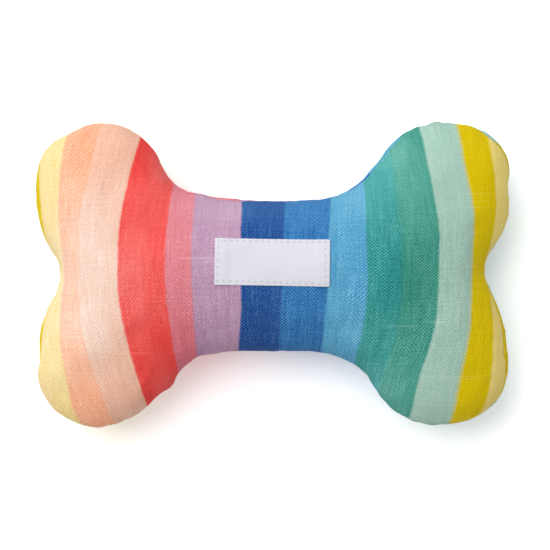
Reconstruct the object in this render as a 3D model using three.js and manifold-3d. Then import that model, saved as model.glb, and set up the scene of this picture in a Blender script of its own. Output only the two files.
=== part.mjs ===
// Stuffed bone-shaped squeaking dog toy, sewn from two fabric panels.
// Millimetres. +X runs along its length, +Z up through the front panel. The toy lies on its back
// panel, and the origin is on the ground under its middle.
import * as THREE from "three";
import { mergeVertices } from "three/addons/utils/BufferGeometryUtils.js";
import Module from "manifold-3d";

const wasm = await Module();
wasm.setup();

// Outline of the sewn bone
const overallLength = 229.2;
const overallWidth = 147;
const knuckleRadius = 32.6;
const shankHalfWidth = 35.8;
const shankHollowRadius = 220;
const throatRadius = 34;
const endRadius = 80;
const notchDepth = 12.1;
const notchRadius = 18;

// Stuffed depth of each half, and how far the toy's own weight flattens its back
const crownHeight = 25.6;
const restFlattening = 0.7;
const swellPower = 0.43;

// Cloth, its seam and the clearance that separate pieces keep
const clothThickness = 1.2;
const seamAllowance = 6;
const clearance = 0.3;
const threadDiameter = 0.5;
const seamStitchInset = 2.4;
const closingLength = 62;
const closingInset = 0.35;

// Label
const labelLength = 55.4;
const labelWidth = 22.7;
const labelClothThickness = 0.4;
const labelTurnUnder = 6;
const labelOffCentre = 5.8;
const labelTurn = THREE.MathUtils.degToRad(-0.8);
const labelStitchInset = 1.5;
const labelThreadDiameter = 0.4;
const labelStitchSpacing = 5;
const labelCentre = new THREE.Vector2(0, labelOffCentre);

// Filling
const shankWadHalfLength = 66;
const shankWadHalfWidth = 45;
const wadClearance = 0.5;

// Squeaker
const bulbMargin = 12.8;
const bulbRimWidth = 6;
const bulbHalfThickness = 9.5;
const bulbWall = 1.2;
const bulbRippleHeight = 0.55;
const bulbRipplePitch = 5.5;
const bulbWeltHeight = 0.8;
const bulbWeltReach = 0.9;
const neckLength = 10;
const neckWall = 1.3;
const neckSkirt = 2.4;
const neckBead = 0.7;
const barrelRadius = 4;
const barrelWall = 1.1;
const barrelIntoBulb = 2.5;
const barrelFlangeRadius = 5.4;
const barrelFlangeThickness = 1.4;
const toneBoardFlatBelowAxis = 0.15;
const toneChannelWidth = 2.4;
const toneChannelDepth = 1.5;
const toneTipLength = 1.4;
const reedThickness = 0.3;
const reedWidth = 4.2;
const reedSetBack = 0.8;
const wedgeLength = 4.2;
const squeakerCentre = -5;

// How finely the round stretches are divided
const shankSteps = 2;
const throatSteps = 4;
const knuckleFlankSteps = 7;
const knuckleEndSteps = 4;
const endSteps = 2;
const notchSteps = 1;
const rimDepthShares = [0.012, 0.05, 0.12, 0.22];
const foldInsetShare = 0.8;
const deepestNotchShare = 0.8;
const widestNotchShare = 0.9;
const solvedShare = 1e-16;
const mergeShare = 1e-7;
const seamSteps = 96;
const closingSteps = 14;
const threadSides = 4;
const labelSteps = 8;
const labelWidthSteps = 4;
const shankFormSteps = 24;
const roundSteps = 24;
const rimSteps = 5;

const finishes = {
  stripedLinen: { color: 0x4f86bd, roughness: 0.92, metalness: 0 },
  stripedLinenBack: { color: 0xd98d7f, roughness: 0.92, metalness: 0 },
  labelCloth: { color: 0xe6e5ee, roughness: 0.85, metalness: 0 },
  thread: { color: 0xd9dadf, roughness: 0.8, metalness: 0 },
  fibreFilling: { color: 0xf2f0ea, roughness: 1, metalness: 0 },
  softPlastic: { color: 0xdfe3e2, roughness: 0.45, metalness: 0 },
  rigidPlastic: { color: 0x2b2d31, roughness: 0.4, metalness: 0 },
  reedFilm: { color: 0xcfd4c8, roughness: 0.25, metalness: 0 },
};

const bulbRadius = shankHalfWidth - bulbMargin;
const bulbFlatRadius = bulbRadius - bulbRimWidth;
const foldHeight = clearance / 2 + clothThickness;
const midHeight = foldHeight + crownHeight - restFlattening;
const knuckleCentre = new THREE.Vector2(
  overallLength / 2 - knuckleRadius,
  overallWidth / 2 - knuckleRadius,
);

// The centre, beside the line from a to b, that lies at the two distances from them.
function meetingPoint(a, fromA, b, fromB, side) {
  const between = b.clone().sub(a);
  const along = (fromA ** 2 - fromB ** 2 + between.lengthSq()) / (2 * between.length());
  const off = Math.sqrt(Math.max(fromA ** 2 - along ** 2, 0)) * side;
  const unit = between.clone().normalize();
  return new THREE.Vector2(
    a.x + unit.x * along - unit.y * off,
    a.y + unit.y * along + unit.x * off,
  );
}

// Evenly spaced points on an arc of the given centre, from one direction to another.
function arcPoints(centre, radius, from, to, steps) {
  return Array.from({ length: steps + 1 }, (_, k) => {
    const angle = from + ((to - from) * k) / steps;
    return new THREE.Vector2(
      centre.x + radius * Math.cos(angle),
      centre.y + radius * Math.sin(angle),
    );
  });
}

const bearing = (from, to) => Math.atan2(to.y - from.y, to.x - from.x);

// A quarter of the outline in five tangent arcs. The flank runs from the middle of the shank over
// the throat to the knuckle's outer corner, and the end from there down to the notch.
function quarterOutline() {
  const shankCentre = new THREE.Vector2(0, shankHalfWidth + shankHollowRadius);
  const throatCentre = meetingPoint(
    knuckleCentre,
    knuckleRadius + throatRadius,
    shankCentre,
    shankHollowRadius - throatRadius,
    1,
  );
  const crossing = Math.sqrt(Math.max(knuckleRadius ** 2 - knuckleCentre.y ** 2, 0));
  const depth = Math.min(notchDepth, deepestNotchShare * (knuckleRadius - crossing));
  const widestNotch =
    (knuckleCentre.y ** 2 + depth ** 2 - 2 * knuckleRadius * depth) / (2 * depth);
  const notch = Math.min(notchRadius, widestNotchShare * widestNotch);
  const notchCentre = new THREE.Vector2(overallLength / 2 - depth + notch, 0);
  const endCentre = meetingPoint(
    knuckleCentre,
    endRadius - knuckleRadius,
    notchCentre,
    endRadius + notch,
    -1,
  );
  const outerCorner = Math.PI / 4;
  const flank = [
    arcPoints(
      shankCentre,
      shankHollowRadius,
      -Math.PI / 2,
      bearing(shankCentre, throatCentre),
      shankSteps,
    ),
    arcPoints(
      throatCentre,
      throatRadius,
      bearing(shankCentre, throatCentre),
      bearing(throatCentre, knuckleCentre),
      throatSteps,
    ),
    arcPoints(
      knuckleCentre,
      knuckleRadius,
      bearing(knuckleCentre, throatCentre),
      outerCorner,
      knuckleFlankSteps,
    ),
  ];
  const end = [
    arcPoints(
      knuckleCentre,
      knuckleRadius,
      outerCorner,
      bearing(endCentre, knuckleCentre),
      knuckleEndSteps,
    ),
    arcPoints(
      endCentre,
      endRadius,
      bearing(endCentre, knuckleCentre),
      bearing(endCentre, notchCentre),
      endSteps,
    ),
    arcPoints(notchCentre, notch, bearing(notchCentre, endCentre), Math.PI, notchSteps),
  ];
  const joined = (arcs) => arcs.flatMap((arc, k) => (k ? arc.slice(1) : arc));
  return { flank: joined(flank), end: joined(end) };
}

const quarter = quarterOutline();
const flankSteps = quarter.flank.length - 1;
const endStepCount = quarter.end.length - 1;
const across = 2 * flankSteps;
const up = 2 * endStepCount;

// The whole outline, anticlockwise from the lower left knuckle's corner.
function wholeOutline() {
  const mirrored = (points, sx, sy) =>
    points.map((p) => new THREE.Vector2(p.x * sx, p.y * sy));
  const back = (points) => [...points].reverse();
  const runs = [
    back(mirrored(quarter.flank, -1, -1)),
    mirrored(quarter.flank, 1, -1),
    mirrored(quarter.end, 1, -1),
    back(mirrored(quarter.end, 1, 1)),
    back(mirrored(quarter.flank, 1, 1)),
    mirrored(quarter.flank, -1, 1),
    mirrored(quarter.end, -1, 1),
    back(mirrored(quarter.end, -1, -1)),
  ];
  return runs.flatMap((run) => run.slice(1));
}

const outline = wholeOutline();

// The outline drawn in by a distance square to itself.
function insetOutline(depth) {
  const count = outline.length;
  return outline.map((p, k) => {
    const next = outline[(k + 1) % count];
    const last = outline[(k + count - 1) % count];
    const tangent = next.clone().sub(last).normalize();
    return new THREE.Vector2(p.x - tangent.y * depth, p.y + tangent.x * depth);
  });
}

// A flat disc over the outline: rings drawn in from the edge, the first one the edge itself, then a
// grid inside the innermost ring. A column of the grid is divided as the ends are, and it bends as
// they do, by less the nearer it is to the middle. Fine facets serve the cloth's outside, and
// broad ones, on every other point, the lining and the filling.
function flatDisc() {
  const rings = [0, ...rimDepthShares].map((share) => insetOutline(share * shankHalfWidth));
  const count = outline.length;
  const points = rings.flat();
  const fine = [];
  const broad = [];
  const quad = (list, a, b, c, d) => list.push([a, b, c], [a, c, d]);
  const band = (list, outer, inner) => {
    for (let k = 0; k < count; k++) {
      const next = (k + 1) % count;
      quad(list, outer + k, outer + next, inner + next, inner + k);
    }
  };
  const halvingBand = (list, outer, inner) => {
    for (let k = 1; k < count; k += 2) {
      const [next, last] = [(k + 1) % count, (k + 2) % count];
      list.push([outer + k, outer + next, inner + k]);
      list.push([outer + next, inner + last, inner + k]);
      list.push([outer + next, outer + last, inner + last]);
    }
  };
  for (let r = 0; r + 1 < rings.length; r++) band(fine, r * count, (r + 1) * count);
  const first = (rings.length - 1) * count;
  const middle = Math.floor(rings.length / 2) * count;
  band(broad, 0, middle);
  halvingBand(broad, middle, first);
  const onRing = (k) => first + ((k + 2 * count - 1) % count);
  const lower = (i) => onRing(i);
  const right = (j) => onRing(across + j);
  const upper = (i) => onRing(2 * across + up - i);
  const left = (j) => onRing(2 * across + 2 * up - j);
  const tip = points[right(0)];
  const grid = [];
  for (let i = 0; i <= across; i++) {
    grid.push([]);
    for (let j = 0; j <= up; j++) {
      if (j === 0) grid[i].push(lower(i));
      else if (j === up) grid[i].push(upper(i));
      else if (i === 0) grid[i].push(left(j));
      else if (i === across) grid[i].push(right(j));
      else {
        const foot = points[lower(i)];
        const end = points[right(j)];
        const towardsEnd = (2 * i) / across - 1;
        const x = foot.x + towardsEnd * (end.x - tip.x);
        const y = (foot.y * end.y) / tip.y;
        grid[i].push(points.push(new THREE.Vector2(x, y)) - 1);
      }
    }
  }
  for (const [list, step] of [[fine, 1], [broad, 2]]) {
    for (let i = 0; i < across; i += step) {
      for (let j = 0; j < up; j += step) {
        const [a, b] = [grid[i][j], grid[i + step][j]];
        const [c, d] = [grid[i + step][j + step], grid[i][j + step]];
        const towardsCorner = i < across / 2 === j < up / 2;
        if (towardsCorner) quad(list, a, b, c, d);
        else quad(list, b, c, d, a);
      }
    }
  }
  return { points, fine, broad, rim: count };
}

// How far a film stretched over the disc's edge sags at each point under an even pressure.
// Cotangent weights, solved by conjugate gradients with the edge held at nought.
function filmSag({ points, fine, rim }) {
  const neighbours = points.map(() => new Map());
  const load = new Float64Array(points.length);
  for (const t of fine) {
    const corners = t.map((k) => points[k]);
    const area = corners[1].clone().sub(corners[0]).cross(corners[2].clone().sub(corners[0])) / 2;
    for (let k = 0; k < 3; k++) {
      const a = corners[(k + 1) % 3].clone().sub(corners[k]);
      const b = corners[(k + 2) % 3].clone().sub(corners[k]);
      const weight = a.dot(b) / (4 * area);
      const [p, q] = [t[(k + 1) % 3], t[(k + 2) % 3]];
      neighbours[p].set(q, (neighbours[p].get(q) ?? 0) + weight);
      neighbours[q].set(p, (neighbours[q].get(p) ?? 0) + weight);
      load[t[k]] += area / 3;
    }
  }
  const stiffnessTimes = (x) =>
    x.map((value, k) => {
      if (k < rim) return 0;
      let sum = 0;
      for (const [q, weight] of neighbours[k]) sum += weight * (value - (q < rim ? 0 : x[q]));
      return sum;
    });
  const dot = (a, b) => a.reduce((sum, value, k) => sum + value * b[k], 0);
  const sag = new Float64Array(points.length);
  let residual = load.map((value, k) => (k < rim ? 0 : value));
  let search = residual.slice();
  let size = dot(residual, residual);
  const enough = size * solvedShare;
  for (let turn = 0; turn < 3 * points.length && size > enough; turn++) {
    const spread = stiffnessTimes(search);
    const step = size / dot(search, spread);
    search.forEach((value, k) => (sag[k] += step * value));
    residual = residual.map((value, k) => value - step * spread[k]);
    const next = dot(residual, residual);
    search = search.map((value, k) => residual[k] + (next / size) * value);
    size = next;
  }
  return sag;
}

// The outer skin of one half: near the square root of the film's sag, it swells like stuffed cloth,
// steep at the seam and round over the knuckles and the shank.
function swollenSkin(disc) {
  const sag = filmSag(disc);
  const most = Math.max(...sag);
  return disc.points.map(
    (p, k) => new THREE.Vector3(p.x, p.y, foldHeight + crownHeight * (sag[k] / most) ** swellPower),
  );
}

// Unit normals of the skin; on its rim they lie flat and point out of the outline.
function skinNormals(skin, { fine, rim }) {
  const normals = skin.map(() => new THREE.Vector3());
  for (const t of fine) {
    const edge = skin[t[1]].clone().sub(skin[t[0]]);
    const face = edge.cross(skin[t[2]].clone().sub(skin[t[0]]));
    t.forEach((k) => normals[k].add(face));
  }
  normals.forEach((normal, k) => {
    if (k < rim) normal.z = 0;
    normal.normalize();
  });
  return normals;
}

const disc = flatDisc();
const skin = swollenSkin(disc);
const normals = skinNormals(skin, disc);

// The skin moved into the toy, square to itself.
const sunkSkin = (depth) => skin.map((p, k) => p.clone().addScaledVector(normals[k], -depth));

// One closed solid between an upper skin and a lower skin, with rings of points down its side.
function closedBetween(upperSkin, upperTriangles, rings, lowerSkin, lowerTriangles) {
  const count = outline.length;
  const points = [...upperSkin, ...rings.flat(), ...lowerSkin];
  const index = upperTriangles.flat();
  const starts = [
    0,
    ...rings.map((_, k) => upperSkin.length + k * count),
    upperSkin.length + rings.length * count,
  ];
  for (let r = 0; r + 1 < starts.length; r++) {
    for (let k = 0; k < count; k++) {
      const next = (k + 1) % count;
      const [a, b] = [starts[r] + k, starts[r] + next];
      const [c, d] = [starts[r + 1] + next, starts[r + 1] + k];
      index.push(a, c, b, a, d, c);
    }
  }
  const lowerStart = starts[starts.length - 1];
  lowerTriangles.forEach(([a, b, c]) => index.push(lowerStart + a, lowerStart + c, lowerStart + b));
  const geometry = new THREE.BufferGeometry().setFromPoints(points);
  geometry.setIndex(index);
  return geometry;
}

const levelRing = (depth, z) => insetOutline(depth).map((p) => new THREE.Vector3(p.x, p.y, z));

// Points pressed flat where they reach below the ground the toy lies on.
const pressFlat = (points, lift) =>
  points.map((p) => new THREE.Vector3(p.x, p.y, Math.min(p.z, midHeight - lift)));

// One fabric panel as a shell: its swollen skin, the fold at the seam and the allowance turned in.
function panelGeometry(flattened) {
  const lining = sunkSkin(clothThickness);
  const outside = flattened ? pressFlat(skin, 0) : skin;
  const inside = flattened ? pressFlat(lining, clothThickness) : lining;
  const foldRings = [
    levelRing(foldInsetShare * clothThickness, clearance / 2),
    levelRing(seamAllowance, clearance / 2),
    levelRing(seamAllowance, foldHeight),
  ];
  return closedBetween(outside, disc.fine, foldRings, inside, disc.broad);
}

// A tube through points, which it follows on one smooth open curve.
function threadGeometry(points, diameter, steps) {
  const section = new THREE.Shape(
    Array.from({ length: threadSides }, (_, k) => {
      const angle = (2 * Math.PI * k) / threadSides;
      return new THREE.Vector2(Math.cos(angle), Math.sin(angle)).multiplyScalar(diameter / 2);
    }),
  );
  return new THREE.ExtrudeGeometry(section, {
    steps,
    bevelEnabled: false,
    extrudePath: new THREE.CatmullRomCurve3(points, false, "centripetal"),
  });
}

// How far outside a facet, as a share of it, a point still counts as on its edge
const edgeShare = 1e-9;

// Height of a surface over a point of the plan, on the facet that lies there.
function heightOver(surface, triangles, x, y) {
  for (const [i, j, k] of triangles) {
    const [a, b, c] = [surface[i], surface[j], surface[k]];
    const whole = (b.x - a.x) * (c.y - a.y) - (b.y - a.y) * (c.x - a.x);
    const s = ((x - a.x) * (c.y - a.y) - (y - a.y) * (c.x - a.x)) / whole;
    const t = ((b.x - a.x) * (y - a.y) - (b.y - a.y) * (x - a.x)) / whole;
    const inside = Math.min(s, t, 1 - s - t) >= -edgeShare;
    if (inside) return a.z + s * (b.z - a.z) + t * (c.z - a.z);
  }
  throw new Error("the label reaches past the panel");
}

// The seam line, from one end of the turning gap round to the other. The gap lies along the lower
// edge of the shank.
function seamLine(depth, z) {
  const line = insetOutline(depth).filter((p) => p.y > 0 || Math.abs(p.x) > closingLength / 2);
  const firstRight = line.findIndex((p) => p.y < 0 && p.x > 0);
  const ordered = [...line.slice(firstRight), ...line.slice(0, firstRight)];
  return ordered.map((p) => new THREE.Vector3(p.x, p.y, z));
}

// Points on the lower edge of the shank, across the turning gap.
function gapLine(depth) {
  const lower = insetOutline(depth).filter((p) => p.y < 0);
  const sorted = lower.sort((a, b) => a.x - b.x);
  const edgeAt = (x) => {
    const k = sorted.findIndex((p) => p.x > x);
    const t = (x - sorted[k - 1].x) / (sorted[k].x - sorted[k - 1].x);
    return sorted[k - 1].y + t * (sorted[k].y - sorted[k - 1].y);
  };
  return Array.from({ length: closingSteps + 1 }, (_, k) => {
    const x = closingLength * (k / closingSteps - 0.5);
    return new THREE.Vector3(x, edgeAt(x), 0);
  });
}

// Heights of the label's two layers over the panel, by distance from the label's middle: flat on
// the panel, then up onto the part turned under.
const labelHalf = labelLength / 2;
const labelStep = labelClothThickness + clearance;
const labelTopHeight = (x) => {
  const climb = (Math.abs(x) - (labelHalf - labelTurnUnder - 2 * labelStep)) / labelStep;
  return labelClothThickness + labelStep * THREE.MathUtils.clamp(climb, 0, 1);
};

// The label's section along its length, with both ends folded under.
function labelSection() {
  const lowerStops = Array.from({ length: labelSteps + 1 }, (_, k) => {
    return (labelHalf - labelTurnUnder - 2 * labelStep) * ((2 * k) / labelSteps - 1);
  });
  const t = labelClothThickness;
  const [tip, shoulder] = [labelHalf - labelTurnUnder, labelHalf - labelTurnUnder - labelStep];
  const end = (side) => {
    const run = [
      [shoulder, t + clearance],
      [labelHalf - t, t + clearance],
      [labelHalf - t, t],
      [tip, t],
      [tip, 0],
      [labelHalf - t / 2, 0],
      [labelHalf, t / 2],
      [labelHalf, 1.5 * t + clearance],
      [labelHalf - t / 2, 2 * t + clearance],
      [shoulder, 2 * t + clearance],
    ];
    return run.map(([x, z]) => new THREE.Vector2(side * x, z));
  };
  return new THREE.Shape([
    ...lowerStops.map((x) => new THREE.Vector2(x, 0)),
    ...end(1),
    ...[...lowerStops].reverse().map((x) => new THREE.Vector2(x, t)),
    ...end(-1).reverse(),
  ]);
}

// From the label's own place to the plan of the toy.
const onToy = (x, y) =>
  new THREE.Vector2(x, y).rotateAround(new THREE.Vector2(), labelTurn).add(labelCentre);

// The label, laid over the front panel's skin.
function labelGeometry() {
  const geometry = new THREE.ExtrudeGeometry(labelSection(), {
    depth: labelWidth,
    steps: labelWidthSteps,
    bevelEnabled: false,
  });
  geometry.rotateX(Math.PI / 2).translate(0, labelWidth / 2, 0);
  const place = geometry.attributes.position;
  for (let k = 0; k < place.count; k++) {
    const p = onToy(place.getX(k), place.getY(k));
    const under = heightOver(skin, disc.fine, p.x, p.y);
    place.setXYZ(k, p.x, p.y, under + clearance + place.getZ(k));
  }
  return geometry;
}

// The line of stitches round the label, open by a stitch where it starts and ends.
function labelStitchLine(heightAt) {
  const [a, b] = [labelHalf - labelStitchInset, labelWidth / 2 - labelStitchInset];
  const corners = [
    [0, -b],
    [a, -b],
    [a, b],
    [-a, b],
    [-a, -b],
    [-labelStitchInset, -b],
  ];
  const points = [];
  for (let k = 0; k + 1 < corners.length; k++) {
    const [from, to] = [corners[k], corners[k + 1]].map((c) => new THREE.Vector2(...c));
    const pieces = Math.ceil(from.distanceTo(to) / labelStitchSpacing);
    for (let n = 0; n < pieces; n++) points.push(from.clone().lerp(to, n / pieces));
  }
  points.push(new THREE.Vector2(...corners[corners.length - 1]));
  return points.map((p) => {
    const q = onToy(p.x, p.y);
    return new THREE.Vector3(q.x, q.y, heightAt(p, q));
  });
}

// A geometry as a solid that can be joined and cut.
function solid(geometry) {
  const bare = geometry.clone();
  for (const name of Object.keys(bare.attributes)) {
    if (name !== "position") bare.deleteAttribute(name);
  }
  const merged = mergeVertices(bare, mergeShare * overallLength);
  return new wasm.Manifold(
    new wasm.Mesh({
      numProp: 3,
      vertProperties: merged.attributes.position.array,
      triVerts: new Uint32Array(merged.index.array),
    }),
  );
}

// A cut or joined solid as a geometry again.
function geometryOf(made) {
  const mesh = made.getMesh();
  const geometry = new THREE.BufferGeometry();
  geometry.setAttribute("position", new THREE.BufferAttribute(mesh.vertProperties, 3));
  geometry.setIndex(new THREE.BufferAttribute(mesh.triVerts, 1));
  return geometry;
}

// A box between two corners.
function boxBetween(low, high) {
  const size = high.clone().sub(low);
  const middle = low.clone().add(high).divideScalar(2);
  return solid(new THREE.BoxGeometry(size.x, size.y, size.z).translate(...middle.toArray()));
}

// A round bar along X.
function barAlongX(radius, from, to, farRadius = radius) {
  const bar = new THREE.CylinderGeometry(farRadius, radius, to - from, roundSteps);
  return solid(bar.rotateZ(-Math.PI / 2).translate((from + to) / 2, 0, 0));
}

// All the filling as one mass inside the panels, grooved where the seam allowances lie.
function fillingMass(gap) {
  const groove = foldHeight + threadDiameter + 2 * clearance;
  const upper = sunkSkin(clothThickness + gap).map(
    (p) => new THREE.Vector3(p.x, p.y, Math.max(p.z, groove)),
  );
  const lower = pressFlat(upper, clothThickness + gap).map(
    (p) => new THREE.Vector3(p.x, p.y, -p.z),
  );
  const inner = seamAllowance + clearance;
  const rings = [levelRing(inner, groove), levelRing(inner, -groove)];
  return solid(closedBetween(upper, disc.broad, rings, lower, disc.broad));
}

// The barrel shape of the shank's filling, which the knuckles' wads are cut by.
function shankForm(growth) {
  const form = new THREE.SphereGeometry(1, shankFormSteps, shankFormSteps / 2);
  form.rotateZ(Math.PI / 2);
  const aside = shankWadHalfWidth + growth;
  return solid(form.scale(shankWadHalfLength + growth, aside, aside));
}

// The largest body that cuts have left.
const mainBody = (made) =>
  made.decompose().reduce((most, body) => (body.volume() > most.volume() ? body : most));

// Half section of the bulb, rippled from the middle outwards and rounded to the rim.
function bulbProfile(sink, welt) {
  const ripples = Math.floor((2 * bulbFlatRadius) / bulbRipplePitch);
  const top = bulbHalfThickness - sink;
  const upper = [];
  for (let k = 0; k <= ripples; k++) {
    const drop = k % 2 === ripples % 2 ? 0 : bulbRippleHeight;
    upper.push(new THREE.Vector2((k * bulbRipplePitch) / 2, top - drop));
  }
  const shoulder = (ripples * bulbRipplePitch) / 2;
  for (let k = 1; k < rimSteps; k++) {
    const angle = (k / rimSteps) * (Math.PI / 2);
    upper.push(
      new THREE.Vector2(
        shoulder + (bulbRadius - sink - shoulder) * Math.sin(angle),
        top * Math.cos(angle),
      ),
    );
  }
  if (welt) {
    upper.push(new THREE.Vector2(bulbRadius, bulbWeltHeight / 2));
    upper.push(new THREE.Vector2(bulbRadius + bulbWeltReach, bulbWeltHeight / 2));
  } else upper.push(new THREE.Vector2(bulbRadius - sink, bulbWeltHeight / 2));
  const lower = upper.map((p) => new THREE.Vector2(p.x, -p.y));
  return [...lower, ...upper.reverse()];
}

const turned = (profile, steps) => new THREE.LatheGeometry(profile, steps).rotateX(Math.PI / 2);

// Radii and stations of the squeaker along X from the bulb's middle
const neckBore = barrelRadius + clearance;
const neckRadius = neckBore + neckWall;
const neckEnd = bulbRadius + neckLength;
const barrelStart = bulbRadius - barrelIntoBulb;
const barrelEnd = neckEnd + clearance + barrelFlangeThickness;
const barrelBore = barrelRadius - barrelWall;
const reedBedRadius = barrelBore - clearance;
const boardStart = barrelStart + clearance;
const boardEnd = barrelEnd - clearance;
const reedUnder = clearance - toneBoardFlatBelowAxis;
const reedTop = reedUnder + reedThickness;

// The bulb with its neck, open through the neck's bore into its hollow.
function bulbGeometry() {
  const skin = solid(turned(bulbProfile(0, true), roundSteps));
  const hollow = solid(turned(bulbProfile(bulbWall, false), roundSteps));
  const root = bulbRadius - 2 * bulbWall;
  const neck = barAlongX(neckRadius, root, neckEnd);
  const skirt = barAlongX(neckRadius + neckSkirt, root, bulbRadius + neckSkirt, neckRadius);
  const bead = barAlongX(neckRadius + neckBead, neckEnd - 2 * neckBead, neckEnd);
  const bore = barAlongX(neckBore, bulbRadius / 2, neckEnd + bulbRadius);
  return geometryOf(skin.add(skirt).add(neck).add(bead).subtract(hollow).subtract(bore));
}

// Room that the filling leaves for the whole squeaker.
function squeakerRoom() {
  const reach = bulbRadius + bulbWeltReach + wadClearance;
  const deep = bulbHalfThickness + wadClearance;
  const shoulder = (bulbFlatRadius + reach) / 2;
  const profile = [
    new THREE.Vector2(0, -deep),
    new THREE.Vector2(shoulder, -deep),
    new THREE.Vector2(reach, -deep / 2),
    new THREE.Vector2(reach, deep / 2),
    new THREE.Vector2(shoulder, deep),
    new THREE.Vector2(0, deep),
  ];
  const mouth = Math.max(neckRadius + neckSkirt, barrelFlangeRadius) + wadClearance;
  const neck = barAlongX(mouth, 0, barrelEnd + wadClearance);
  return solid(turned(profile, roundSteps)).add(neck).translate([squeakerCentre, 0, 0]);
}

// The barrel, a stepped tube with a flange at the neck's mouth and a lead-in at its other end.
function barrelGeometry() {
  const lead = barrelWall / 2;
  const profile = [
    [barrelBore, barrelStart],
    [barrelRadius - lead, barrelStart],
    [barrelRadius, barrelStart + lead],
    [barrelRadius, neckEnd + clearance],
    [barrelFlangeRadius, neckEnd + clearance],
    [barrelFlangeRadius, barrelEnd],
    [barrelBore, barrelEnd],
    [barrelBore, barrelStart],
  ];
  const points = profile.map(([r, x]) => new THREE.Vector2(r, x));
  return new THREE.LatheGeometry(points, roundSteps).rotateZ(-Math.PI / 2);
}

// A section in Y and Z drawn out along X.
function drawnOut(section, from, to) {
  const geometry = new THREE.ExtrudeGeometry(section, {
    depth: to - from,
    bevelEnabled: false,
    curveSegments: roundSteps / 2,
  });
  return geometry.rotateX(Math.PI / 2).rotateZ(Math.PI / 2).translate(from, 0, 0);
}

// The part of the barrel's bore that lies beyond a flat, as a section.
function boreSegment(flat, side) {
  const start = Math.asin(flat / reedBedRadius);
  const section = new THREE.Shape();
  if (side > 0) section.absarc(0, 0, reedBedRadius, start, Math.PI - start, false);
  else section.absarc(0, 0, reedBedRadius, Math.PI - start, 2 * Math.PI + start, false);
  section.closePath();
  return section;
}

// The tone board: a trough, open towards the barrel's mouth and closed at its tip.
function toneBoardGeometry() {
  const flat = -toneBoardFlatBelowAxis;
  const board = solid(drawnOut(boreSegment(flat, -1), boardStart, boardEnd));
  const channel = boxBetween(
    new THREE.Vector3(boardStart + toneTipLength, -toneChannelWidth / 2, flat - toneChannelDepth),
    new THREE.Vector3(boardEnd + toneTipLength, toneChannelWidth / 2, toneChannelDepth),
  );
  return geometryOf(board.subtract(channel));
}

// The reed, a thin tongue with a round tip over the trough.
function reedGeometry() {
  const half = reedWidth / 2;
  const section = new THREE.Shape();
  const roundFrom = boardStart + reedSetBack + half;
  section.moveTo(boardEnd, -half);
  section.lineTo(boardEnd, half);
  section.lineTo(roundFrom, half);
  section.absarc(roundFrom, 0, half, Math.PI / 2, 1.5 * Math.PI, false);
  section.closePath();
  const geometry = new THREE.ExtrudeGeometry(section, {
    depth: reedThickness,
    bevelEnabled: false,
    curveSegments: roundSteps / 2,
  });
  return geometry.translate(0, 0, reedUnder);
}

const toy = new THREE.Group();
toy.name = "squeaking_bone";
const stuffed = new THREE.Group();
stuffed.position.z = midHeight;
const squeaker = new THREE.Group();
squeaker.position.x = squeakerCentre;
stuffed.add(squeaker);
toy.add(stuffed);

// Adds a named piece to a group.
function addPiece(group, name, geometry, finish) {
  const plain = geometry.index ? geometry.toNonIndexed() : geometry;
  plain.computeVertexNormals();
  const mesh = new THREE.Mesh(plain, new THREE.MeshStandardMaterial(finish));
  mesh.name = name;
  group.add(mesh);
  return mesh;
}

// Panels
addPiece(stuffed, "front_panel", panelGeometry(false), finishes.stripedLinen);
const backPanel = addPiece(stuffed, "back_panel", panelGeometry(true), finishes.stripedLinenBack);
backPanel.rotation.x = Math.PI;

// Seam and closing threads
const seamThreadHeight = foldHeight + clearance + threadDiameter / 2;
const seamThreads = [
  ["seam_needle_thread", seamThreadHeight],
  ["seam_bobbin_thread", -seamThreadHeight],
];
for (const [name, height] of seamThreads) {
  const line = seamLine(seamStitchInset, height);
  addPiece(stuffed, name, threadGeometry(line, threadDiameter, seamSteps), finishes.thread);
}
const closing = threadGeometry(gapLine(closingInset), threadDiameter, closingSteps);
addPiece(stuffed, "closing_stitch", closing, finishes.thread);

// Label and the two threads of its lockstitch. The needle thread is up a stitch before the fold.
addPiece(stuffed, "label", labelGeometry(), finishes.labelCloth);
const overLabel = labelStitchLine((p, q) => {
  const panel = heightOver(skin, disc.fine, q.x, q.y);
  const highest = labelTopHeight(Math.abs(p.x) + labelStitchSpacing);
  return panel + highest + 2 * clearance + labelThreadDiameter / 2;
});
const lining = sunkSkin(clothThickness);
const underPanel = labelStitchLine((p, q) => {
  const inside = heightOver(lining, disc.broad, q.x, q.y);
  return inside - clearance - labelThreadDiameter / 2;
});
const labelThreads = [
  ["label_needle_thread", overLabel],
  ["label_bobbin_thread", underPanel],
];
for (const [name, line] of labelThreads) {
  const geometry = threadGeometry(line, labelThreadDiameter, line.length - 1);
  addPiece(stuffed, name, geometry, finishes.thread);
}

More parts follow.
